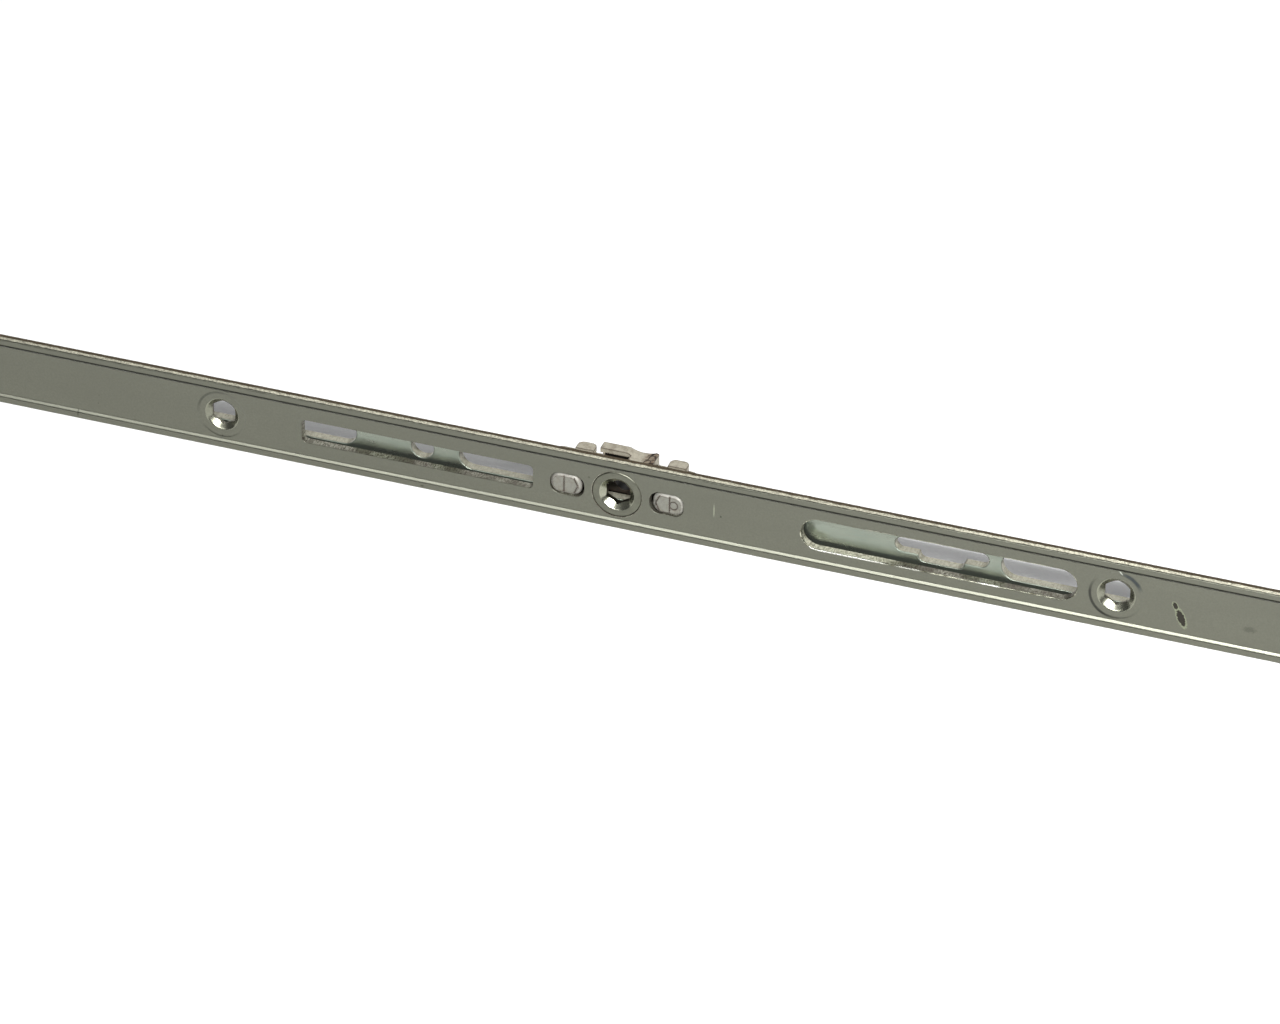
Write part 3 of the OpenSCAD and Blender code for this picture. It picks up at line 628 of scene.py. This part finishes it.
def torn_skin(cast, place):
    """Dark branching lines about 0.15 mm wide in a torn casting skin, and the brown stain round them."""
    tree = cast.tree
    cells = add(tree, "ShaderNodeTexVoronoi", {"feature": "DISTANCE_TO_EDGE"},
                {"Vector": cast.at, "Scale": 1 / (1.1 * MM), "Randomness": 1.0}).outputs["Distance"]
    near = cast.mark(*place, ragged=0.8, size=1.0)
    cast.tint(near, 1.5, 0.9, "#85705a", 0.55)
    away = add(tree, "ShaderNodeMapRange", inputs=span(near, 1.1, 1.5, 0.0, 1.0))
    line = add(tree, "ShaderNodeMath", {"operation": "MULTIPLY_ADD"}, {0: away, 1: 0.3, 2: cells})
    cast.tint(line, 0.16, 0.06, "#2c2119", 0.95)


def die_cast_zinc(name, base, dirt="#5d4a3b", amount=0.35, coarse=1.4, metallic=0.35, torn_at=None):
    """Bare zinc casting: matt warm grey skin, pitted, brown grime in patches and along the edges."""
    cast = Metal(name, base, 0.55, metallic)
    skin = cast.grain(0.6, 4)
    cast.tint(skin, 0.7, 0.3, darkened(base, 0.8))
    cast.tint(cast.grain(coarse, 5, rough=0.7), 0.5, 0.62, dirt, amount)
    edge_grime(cast)
    if torn_at:
        torn_skin(cast, torn_at)
    return cast.finished(skin, 0.06, 0.5)


# Pieces

def through(shell, outline_at, depths, roll, rise, steps, back_roll, finishes, way=1):
    """Roll-over, wall and back edge of one outline through a sheet.

    outline_at(grow) gives the outline grown by that much; way is -1 round the outside.
    Returns the rings that the front and the back face meet.
    """
    top, bottom = depths
    front, wall = finishes
    rings = [shell.ring(outline_at(way * roll * (1 - sin(a))), top + rise * (1 - cos(a)))
             for a in quarter(steps)]
    rings.append(shell.ring(outline_at(0), bottom - back_roll))
    rings.append(shell.ring(outline_at(way * back_roll), bottom))
    shell.sleeve(rings, [front] * steps + [wall] * 2)
    return rings[0], rings[-1]


def seat(shell, x, rows, finishes, last_rings=(), count=SEAT_POINTS):
    """Turned seat from rows of radius and depth below the channel's floor; returns its end rings."""
    rings = [shell.ring(turned(r, x, count), FLOOR_Y + y) for r, y in rows]
    rings += [shell.ring(turned(radii, x, count), y) for radii, y in last_rings]
    shell.sleeve(rings, finishes)
    return rings[0], rings[-1]


def screw_seat(shell, x, rim_r, front, cone, wall):
    """Coined ring, countersink and hexagonal hole."""
    dip = COIN_DEPTH
    rows = [(RING_R + 0.25, 0.0), (RING_R + 0.12, 0.02), (RING_R, 0.07), (RING_R - 0.14, 0.13),
            (RING_R - 0.34, 0.145), (RING_R - 0.7, dip), (rim_r + 0.1, dip), (rim_r - 0.02, dip + 0.05)]
    rows += [(rim_r - 0.05 - 0.16 * i, dip + 0.05 + 0.16 * i) for i in range(1, 5)]
    hole = hexagon(HEX_FLATS)
    last_rings = ((hole, [FLOOR_Y + dip + rim_r - r for r in hole]), (hole, BACK_Y))
    return seat(shell, x, rows, [front] * 6 + [cone] * 6 + [wall], last_rings)


def case_screw_seat(shell, x, front, cone, wall):
    """Coined ring and a plain countersink for a gearbox screw."""
    rows = [(5.46, 0.0), (5.28, 0.1), (5.08, COIN_DEPTH), (3.4, COIN_DEPTH), (3.33, 0.15),
            (CASE_HOLE_R, 1.85)]
    finishes = [front] * 3 + [cone] * 2 + [wall]
    return seat(shell, x, rows, finishes, ((CASE_HOLE_R, BACK_Y),), CASE_SEAT_POINTS)


def strip_profile(sizes):
    """Half section from the channel's floor out over the rail and side to the back, (y, z)."""
    half = sizes.width / MM / 2
    rail, slope, edge = sizes.rail / MM, sizes.slope / MM, sizes.edge / MM
    mouth = half - rail
    foot = mouth - slope
    points = [(FLOOR_Y, foot - 0.08), (FLOOR_Y - 0.015, foot), (FLOOR_Y - 0.06, foot + 0.08),
              (0.14, mouth - 0.27), (0.05, mouth - 0.13), (0.01, mouth + 0.02), (0.0, mouth + 0.18)]
    points += [(edge * (1 - cos(a)), half - edge * (1 - sin(a))) for a in quarter(5)]
    points += [(1.3, half), (1.45, half - 0.03), (2.3, half - 0.07), (BACK_Y, half - 0.14)]
    return points


def rolled_strip(shell, sizes, front, side, painted_corner_shade):
    """Sweeps the section along the strip, narrower in its rounded corners; returns the faces' outlines."""
    section = strip_profile(sizes)
    # bands of the section at the channel's upper corner, which get painted shade, and the last one of the
    # rolled front edge
    shaded_corner_bands, last_front_band = (3, 4, 5), 11
    half = sizes.width / MM / 2
    corner = 1.2
    stations = [(corner * (1 - cos(a)), half - corner + corner * sin(a)) for a in quarter(6)]
    places = [(PLATE_X0 + dx, w) for dx, w in stations]
    places += [(PLATE_X1 - dx, w) for dx, w in reversed(stations)]
    edges = {}
    for s in (-1, 1):
        rows = []
        for x, w in places:
            first = len(shell.points)
            shell.points += [(x, y, s * min(z, w - (half - z) * 0.05)) for y, z in section]
            rows.append(list(range(first, first + len(section))))
        for a, b in zip(rows, rows[1:]):
            for k in range(len(section) - 1):
                in_painted_shade = s > 0 and k in shaded_corner_bands
                finish = painted_corner_shade if in_painted_shade else front if k <= last_front_band else side
                shell.face((a[k], a[k + 1], b[k + 1], b[k]), finish)
        edges[s] = rows
    for end in (0, -1):
        loop = edges[-1][end] + edges[1][end][::-1]
        outline = [Vector((shell.points[i][2], shell.points[i][1], 0)) for i in loop]
        for tri in tessellate_polygon([outline]):
            shell.face([loop[k] for k in tri], side)
    return [[row[end] for row in edges[-1]] + [row[end] for row in reversed(edges[1])] for end in (0, -1)]


class ESPAG_OT_faceplate(bpy.types.Operator):
    """Build the rolled faceplate with its channel, slots, windows and screw seats"""
    bl_idname = "espag.faceplate"
    bl_label = "Faceplate"

    def execute(self, context):
        sizes, colours = context.scene.espag_strip, context.scene.espag_finishes
        front, side, wall, cone, rear, dragged, painted_corner_shade = range(7)
        shell = Shell()
        front_outer, back_outer = rolled_strip(shell, sizes, front, side, painted_corner_shade)
        # outline, middle and front edge of each opening
        slots = [(lambda g: round_rect(SHORT_SLOT, 1, g), SHORT_SLOT_X, front),
                 (lambda g: stadium(LONG_SLOT, g), LONG_SLOT_X, dragged)]
        slots += [(lambda g: stadium(CAM_SLOT, g), x, dragged) for x in (LEFT_CAM_X, RIGHT_CAM_X)]
        slots += [(lambda g: round_rect(PEG_WINDOW, PEG_WINDOW_R, g), x, front) for x in (-PEG_X, PEG_X)]
        rims = []
        for outline_at, x, rim in slots:
            roll = sizes.pierce_roll / MM / (1 if rim == dragged else 2)
            rims.append(through(shell, lambda g: shifted(outline_at(g), x), (FLOOR_Y, BACK_Y), roll, roll,
                                steps=3, back_roll=0.05, finishes=(rim, wall)))
        bush_rows = [(5.56, 0.0), (5.46, 0.06), (BUSH_HOLE_R, 0.2), (BUSH_HOLE_R, BACK_Y - FLOOR_Y)]
        rims += [seat(shell, x, bush_rows, wall) for x in (0.0, LEFT_END_X, RIGHT_END_X)]
        rims += [screw_seat(shell, x, rim_r, front, cone, wall)
                 for x, rim_r in ((LEFT_SEAT_X, SINK_R), (RIGHT_SEAT_X, RIGHT_SINK_R))]
        rims += [case_screw_seat(shell, x, front, cone, wall) for x in POST_XS]
        fronts, backs = zip(*rims)
        shell.fill(front_outer, list(fronts), front, True)
        shell.fill(back_outer, list(backs), rear, False)
        sheet = passivated_zinc_sheet(colours.web)
        # the last material paints shade into the channel's upper corner: a dark line where the slope faces
        # down into shade
        made = shell.build("faceplate_strip", [
            sheet, slit_edge(colours.web),
            pierced_wall("Pierced slot wall", "#a6a697", "#4c463b", 0.75, 0.7),
            turned_zinc("Coined countersink", "#8f9081", 0.26), sheet, dragged_edge(colours.web),
            turned_zinc("Tarnish in the channel's corner", "#2e2e28", 0.4)])
        place(made, "fixed", "passivated_steel", "faceplate")
        return {"FINISHED"}


def bush_rings(shell, x, hexagonal, flange, cone, bore):
    """Flush insert: flange with a broken edge, countersink, and a hexagonal or round hole."""
    hole = hexagon(HEX_FLATS) if hexagonal else [BUSH_BORE_R] * SEAT_POINTS
    if hexagonal:
        rows = [(hole, BACK_Y + 0.4), (4.1, BACK_Y + 0.4), (4.2, BACK_Y + 0.3), (4.2, BACK_Y)]
    else:
        back = CASE_Y + 1.6
        rows = [(hole, back + 0.6), (2.3, back + 0.6), (3.35, back + 0.5), (3.6, back + 0.3), (3.5, back),
                (2.6, back), (2.6, BACK_Y)]
    rows += [(5.3, BACK_Y), (5.37, BACK_Y - 0.1), (5.37, FLOOR_Y + 0.24), (5.3, FLOOR_Y + 0.13),
             (5.16, FLOOR_Y + 0.035), (4.98, FLOOR_Y), (SINK_R + 0.2, FLOOR_Y),
             (SINK_R + 0.08, FLOOR_Y + 0.04)]
    flange_bands = len(rows) - 1
    rows += [(SINK_R - 0.02 - d, FLOOR_Y + COIN_DEPTH + 0.02 + d) for d in (0.0, 0.16, 0.32, 0.48, 0.64)]
    rows.append((hole, [FLOOR_Y + COIN_DEPTH + SINK_R - r for r in hole]))
    rings = [shell.ring(turned(radius, x), y) for radius, y in rows]
    cone_bands = len(rows) - 1 - flange_bands
    shell.sleeve(rings + rings[:1], [flange] * flange_bands + [cone] * cone_bands + [bore])


class ESPAG_OT_bushes(bpy.types.Operator):
    """Build the middle insert with its hexagonal hole and the two tubular end bushes"""
    bl_idname = "espag.bushes"
    bl_label = "Screw bushes"

    def execute(self, context):
        flange = turned_zinc("Turned zinc flange", "#6f7064", 0.32)
        cone = turned_zinc("Turned zinc countersink", "#a3a493", 0.2)
        bore = turned_zinc("Bush bore", "#6b6a5c", 0.35)
        for node, x, hexagonal in (("mid_bush", 0.0, True), ("left_end_bush", LEFT_END_X, False),
                                   ("right_end_bush", RIGHT_END_X, False)):
            shell = Shell()
            bush_rings(shell, x, hexagonal, 0, 1, 2)
            place(shell.build(node + "_turned", [flange, cone, bore]), "fixed", "bush_steel", node)
        return {"FINISHED"}


class ESPAG_OT_drive_rod(bpy.types.Operator):
    """Build the flat drive rod with its openings and pressed pips"""
    bl_idname = "espag.drive_rod"
    bl_label = "Drive rod"

    def execute(self, context):
        sizes, colours = context.scene.espag_strip, context.scene.espag_finishes
        front, wall = 0, 1
        roll, width = sizes.rod_roll / MM, sizes.rod_width / MM
        shell = Shell()

        def cut(outline_at, way=1):
            return through(shell, outline_at, (ROD_Y0, ROD_Y1), roll, roll * 0.7, steps=4, back_roll=0.08,
                           finishes=(front, wall), way=way)

        middle = (ROD_X0 + ROD_X1) / 2
        outer_front, outer_back = cut(
            lambda g: shifted(round_rect((ROD_X1 - ROD_X0, width), 0.8, g), middle), -1)
        rims = [cut(lambda g: shifted(stadium(size, g), x)) for x, size in ROD_OPENINGS.items()]
        rims.append(cut(lambda g: shifted(stepped(g), STEPPED_X)))
        rims += [cut(lambda g: turned(ROD_HOLE_R + g, x, FEW_POINTS)) for x in ROD_HOLE_XS]
        for x in RACK_RIVET_XS:
            rows = [(3.33, ROD_Y0), (2.03, ROD_Y0 + 1.3), (2.03, ROD_Y1)]
            rings = [shell.ring(turned(r, x, FEW_POINTS), y) for r, y in rows]
            shell.sleeve(rings, wall)
            rims.append((rings[0], rings[-1]))
        fronts, backs = (list(rings) for rings in zip(*rims))
        # pips pressed forward against the faceplate
        steps = 10
        for x in PIP_XS:
            rings = [shell.ring(turned(PIP_R * (1 - k / steps), x, FEW_POINTS),
                                ROD_Y0 - PIP_HEIGHT * (1 - cos(pi * k / steps)) / 2) for k in range(steps)]
            shell.sleeve(rings, front)
            shell.fill(rings[-1], [], front, True)
            fronts.append(rings[0])
        shell.fill(outer_front, fronts, front, True)
        shell.fill(outer_back, backs, front, False)
        punched = pierced_wall("Punched rod wall", "#aba998", "#858273", 0.4, 0.3)
        place(shell.build("drive_rod_flat", [bright_zinc_rod(colours.rod), punched]), "rod", "rod_steel",
              "drive_rod")
        return {"FINISHED"}


# Finishes of the middle guide's casting, in the order of its materials
SKIN, EDGE, PEG, PAINTED_SHADE, TORN, CHAMFER = range(6)
# Half width of the guide between its lugs, where its front lies in the shade
GUIDE_HALF_X = 6.7


def guide_finish(middle, normal, finish):
    """Which finish a face of the middle guide has, from its middle and normal."""
    x, y, z = middle
    if abs(x) > 7.4 and y < CASE_Y - 0.1:
        # a thin step on each peg is painted dark as painted shade
        peg_step_shade = 0.52 < y < 0.67 and (normal.y < -0.9 or abs(normal.y) < 0.3)
        sloping = -0.9 < normal.y < -0.3
        return PAINTED_SHADE if peg_step_shade else CHAMFER if sloping else PEG
    # the screw's hole, the fronts between the lugs and the pocket under the tab are painted dark as painted
    # shade
    screw_hole = hypot(x, z) < 2.35
    shaded_front = normal.y < -0.5 and y < 5.95 and abs(x) < GUIDE_HALF_X and abs(z) < 4.0
    tab_front = normal.y < -0.95 and 7.5 < y < 7.6
    pocket = -5.3 < x < 0.8 and 2.5 < abs(z) < 5.2 and y < 10.2 and not tab_front
    if screw_hole or shaded_front or pocket:
        return PAINTED_SHADE
    saddle = finish in (SKIN, EDGE) and 3.0 < x < 6.6 and abs(z) > 3
    return TORN if saddle else finish


def guide_shape(x, y, z):
    """Moves a corner of the middle guide: fuller pegs, a thinner tab and a worn saddle corner."""
    if abs(x) > 7.0 and y < 2.6:
        return x * 1.008 + (0.05 if x > 0 else -0.05), y, z * 1.045
    if x < 0.7 and 5.4 < z < 5.5 and 7.5 < y < 10.1:
        return x, y, z - 0.5
    if 5.8 < x < 8 and z > 5.6:
        return x - 0.35, y, z - 0.35
    return x, y, z


class ESPAG_OT_guides(bpy.types.Operator):
    """Build the die-cast middle guide and the two end guides"""
    bl_idname = "espag.guides"
    bl_label = "Guides"

    def execute(self, context):
        colours = context.scene.espag_finishes
        skin = die_cast_zinc("Die cast guide", colours.cast)
        edge = die_cast_zinc("Grimy cast edge", colours.cast, "#4d3c2f", 0.85, 0.5)
        peg = die_cast_zinc("Rubbed cast peg", linear("#86867d"), "#6f6353", 0.3, 0.9, 0.6)
        # a near-black finish that stands in for the shade in hollows and on shaded faces: painted shade
        grime = die_cast_zinc("Grime in the casting", linear("#2f2922"), "#1d1814", 0.8, 0.8, 0.0)
        chamfer = die_cast_zinc("Cast peg chamfer", linear("#a09f97"), "#6f6353", 0.3, 0.9, 0.4)
        torn = die_cast_zinc("Torn cast face", colours.cast, "#5a4636", 0.7, 0.5,
                             torn_at=(5.4, 5.2, 2.2, 2.0))
        finishes = [skin, edge, peg, grime, torn, chamfer]
        dressed_copy("mid_guide_block", "mid_guide_casting", "fixed", "cast_zinc", finishes, 0.1 * MM, EDGE,
                     guide_finish, guide_shape, (-GUIDE_HALF_X, GUIDE_HALF_X))
        for node in ("left_end_guide", "right_end_guide"):
            dressed_copy(node, node + "_casting", "fixed", "cast_zinc", [skin], 0.2 * MM)
        return {"FINISHED"}


class ESPAG_OT_gearbox(bpy.types.Operator):
    """Build the two die-cast halves of the gearbox with their rivets and screws"""
    bl_idname = "espag.gearbox"
    bl_label = "Gearbox"

    def execute(self, context):
        sizes = context.scene.espag_gear
        cast = die_cast_zinc("Die cast housing", linear("#aeaca6"), "#6a5c4c", 0.25)
        fastener = turned_zinc("Zinc plated fastener", "#a4a59c", 0.33)
        for node in ("gearbox_body", "gearbox_cover"):
            dressed_copy(node, node + "_casting", "fixed", "cast_zinc", [cast], sizes.edge)
        # rivets along Z, with a domed head at each side
        head = sizes.rivet_head / MM
        half = [(head - 0.9, 6.0), (head - 0.45, 5.92), (head - 0.18, 5.72), (head - 0.05, 5.45),
                (head, 5.2), (1.5, 5.2)]
        rivet = fastener_shape([(r, -y) for r, y in half] + half[::-1])
        points = [(GEAR_X + s * x, y, 0) for s in (-1, 1) for x, y in ((20.5, 33.5), (22.0, 18.56))]
        rivets = fasteners("gearbox_rivets_set", rivet, points, fastener, (pi / 2, 0, 0))
        place(rivets, "fixed", "fastener_steel", "gearbox_rivets")
        # countersunk screws from the faceplate into the posts
        head_y = FLOOR_Y + COIN_DEPTH
        rows = [(3.18, head_y), (3.28, head_y + 0.06), (1.6, head_y + 1.7), (1.6, 8.0), (1.4, 8.2)]
        screw = fastener_shape(rows, (sizes.socket / MM, head_y + 1.3))
        points = [(x, 0, 0) for x in POST_XS]
        screws = fasteners("gearbox_screws_set", screw, points, fastener, turn=2 * pi, seed=sizes.seed)
        place(screws, "fixed", "fastener_steel", "gearbox_screws")
        return {"FINISHED"}


class ESPAG_OT_gears(bpy.types.Operator):
    """Build the pinion, the rack and the rack's rivets"""
    bl_idname = "espag.gears"
    bl_label = "Rack and pinion"

    def execute(self, context):
        steel = turned_zinc("Sintered gear steel", "#87898b", 0.45)
        fastener = turned_zinc("Rack rivet steel", "#9d9e97", 0.33)
        for node, body, width in (("drive_pinion", "pinion", 0.1 * MM), ("rack", "rod", 0.12 * MM)):
            dressed_copy(node, node + "_sintered", body, "gear_steel", [steel], width)
        end = RACK_RIVET_END
        rivet = fastener_shape([(3.2, ROD_Y0), (3.27, ROD_Y0 + 0.04), (2.0, ROD_Y0 + 1.3), (2.0, end - 0.2),
                                (1.8, end)])
        points = [(x, 0, 0) for x in RACK_RIVET_XS]
        place(fasteners("rack_rivets_set", rivet, points, fastener), "rod", "fastener_steel", "rack_rivets")
        return {"FINISHED"}


class ESPAG_OT_cams(bpy.types.Operator):
    """Build the two roller cams: stud, washer and roller"""
    bl_idname = "espag.cams"
    bl_label = "Roller cams"

    def execute(self, context):
        steel = turned_zinc("Turned cam steel", "#989a95", 0.3)
        washer = turned_zinc("Plated washer", "#a4a59c", 0.33)
        for side in ("left", "right"):
            for part, body, slot, material in (("stud", "rod", "cam_steel", steel),
                                               ("washer", "rod", "fastener_steel", washer),
                                               ("roller", side + "_roller", "cam_steel", steel)):
                node = f"{side}_cam_{part}"
                dressed_copy(node, node + "_turned", body, slot, [material], 0.12 * MM)
        return {"FINISHED"}


# Stage

def softbox(name, at, target, size, power):
    """An area lamp at a point in metres, turned to its target; its long side lies level."""
    lamp = bpy.data.lights.new(name, "AREA")
    lamp.shape = "RECTANGLE"
    lamp.size, lamp.size_y = size
    lamp.energy = power
    way = Vector(target) - Vector(at)
    turn = way.to_track_quat("-Z", "Y").to_matrix().to_4x4()
    linked(name, lamp).matrix_world = Matrix.Translation(at) @ turn


def photo_camera():
    """The photograph's camera, solved from the strip's edges, ring outlines and slot ends."""
    focal_px, photo_width_px, sensor_mm = 4508.36, 1280, 36.0
    where = (0.245462, -0.743313, 0.510582)
    lens = bpy.data.cameras.new("Camera")
    lens.sensor_fit = "HORIZONTAL"
    lens.sensor_width = sensor_mm
    lens.lens = focal_px / photo_width_px * sensor_mm
    lens.clip_start, lens.clip_end = 0.05, 50
    right, down, ahead = (0.9471, 0.3203, 0.0208), (0.1924, -0.5148, -0.8354), (-0.2569, 0.7952, -0.5492)
    turn = Matrix((right, [-c for c in down], [-c for c in ahead])).transposed()
    camera = linked("Camera", lens)
    camera.matrix_world = Matrix.Translation(where) @ turn.to_4x4()
    bpy.context.scene.camera = camera


def paper_floor(colour):
    """Pale floor under the strip's lower edge, with a faint glow that only camera, metal and glass see."""
    reach = 6.0
    level = -8.05 * MM
    mesh = bpy.data.meshes.new("floor")
    mesh.from_pydata([(-reach, -reach, level), (reach, -reach, level), (reach, reach, level),
                      (-reach, reach, level)], [], [(0, 1, 2, 3)])
    floor = linked("floor", mesh)
    material = bpy.data.materials.new("Pale paper floor")
    material.use_nodes = True
    tree = material.node_tree
    shader = tree.nodes["Principled BSDF"]
    for socket, value in (("Base Color", colour), ("Roughness", 0.9), ("Specular IOR Level", 0.1)):
        shader.inputs[socket].default_value = value
    path = add(tree, "ShaderNodeLightPath").outputs
    seen = path["Is Camera Ray"]
    for other in ("Is Glossy Ray", "Is Transmission Ray"):
        seen = add(tree, "ShaderNodeMath", {"operation": "MAXIMUM"}, {0: seen, 1: path[other]})
    strength = add(tree, "ShaderNodeMath", {"operation": "MULTIPLY"}, {0: seen, 1: 0.05})
    glow = add(tree, "ShaderNodeEmission", inputs={"Color": (1, 1, 1, 1), "Strength": strength})
    both = add(tree, "ShaderNodeAddShader", inputs={0: shader, 1: glow})
    tree.links.new(both.outputs[0], tree.nodes["Material Output"].inputs["Surface"])
    mesh.materials.append(material)


def studio_world():
    """White for the camera, a plain grey fill for the object."""
    world = bpy.data.worlds.new("Studio")
    bpy.context.scene.world = world
    world.use_nodes = True
    tree = world.node_tree
    fill = tree.nodes["Background"]
    fill.inputs["Color"].default_value = (0.98, 0.99, 1.0, 1)
    fill.inputs["Strength"].default_value = 0.15
    white = add(tree, "ShaderNodeBackground", inputs={"Color": (1, 1, 1, 1), "Strength": 1.0})
    path = add(tree, "ShaderNodeLightPath")
    shown = add(tree, "ShaderNodeMixShader", inputs={0: path.outputs["Is Camera Ray"], 1: fill, 2: white})
    tree.links.new(shown.outputs[0], tree.nodes["World Output"].inputs["Surface"])


class ESPAG_OT_stage(bpy.types.Operator):
    """Add the floor, the soft lamps, the world and the camera"""
    bl_idname = "espag.stage"
    bl_label = "Stage"

    def execute(self, context):
        scene = context.scene
        scene.view_settings.view_transform = "Standard"
        photo_camera()
        paper_floor(scene.espag_finishes.floor)
        studio_world()
        # The long lamps in front lie along the strip, steep enough for little light to pass its slots and
        # low enough for it to shade the floor behind. The photograph's strip grows brighter to the right,
        # so the right one is the strongest.
        softbox("Left front softbox", (-0.9, -1.475, 1.351), (-0.9, 0, 0), (0.7, 0.3), 4.2)
        softbox("Front softbox", (-0.25, -1.475, 1.351), (-0.25, 0, 0), (0.6, 0.3), 7.2)
        softbox("Right front softbox", (0.6, -1.3, 1.38), (0.6, 0, 0), (1.2, 0.12), 42.0)
        softbox("Low right softbox", (0.45, -0.32, 0.345), (0, 0, 0), (0.2, 0.15), 2.0)
        softbox("Back softbox", (-0.23, 0.91, 0.66), (0, 0, 0), (0.8, 0.22), 1.2)
        softbox("Back right softbox", (0.03, 0.91, 0.64), (0.15, 0, 0), (0.3, 0.15), 0.3)
        return {"FINISHED"}


OPERATORS = (ESPAG_OT_stage, ESPAG_OT_faceplate, ESPAG_OT_bushes, ESPAG_OT_drive_rod, ESPAG_OT_guides,
             ESPAG_OT_gearbox, ESPAG_OT_gears, ESPAG_OT_cams)


class ESPAG_PT_panel(bpy.types.Panel):
    """Lists the pieces of the espagnolette"""
    bl_idname = "ESPAG_PT_panel"
    bl_label = "Espagnolette"
    bl_space_type = "VIEW_3D"
    bl_region_type = "UI"
    bl_category = "Espagnolette"

    def draw(self, context):
        layout = self.layout
        for group in (getattr(context.scene, name) for name in GROUPS):
            for name in group.bl_rna.properties.keys():
                if name not in ("rna_type", "name"):
                    layout.prop(group, name)
        for operator in OPERATORS:
            layout.operator(operator.bl_idname)


GROUPS = {"espag_strip": StripSizes, "espag_gear": GearSizes, "espag_finishes": Finishes}
CLASSES = tuple(GROUPS.values()) + OPERATORS + (ESPAG_PT_panel,)


def register():
    for cls in CLASSES:
        bpy.utils.register_class(cls)
    for name, group in GROUPS.items():
        setattr(bpy.types.Scene, name, PointerProperty(type=group))


def unregister():
    for name in GROUPS:
        delattr(bpy.types.Scene, name)
    for cls in reversed(CLASSES):
        bpy.utils.unregister_class(cls)


def main():
    register()
    bpy.ops.espag.stage()
    bpy.ops.espag.faceplate()
    bpy.ops.espag.bushes()
    bpy.ops.espag.drive_rod()
    bpy.ops.espag.guides()
    bpy.ops.espag.gearbox()
    bpy.ops.espag.gears()
    bpy.ops.espag.cams()


if __name__ == "__main__":
    main()
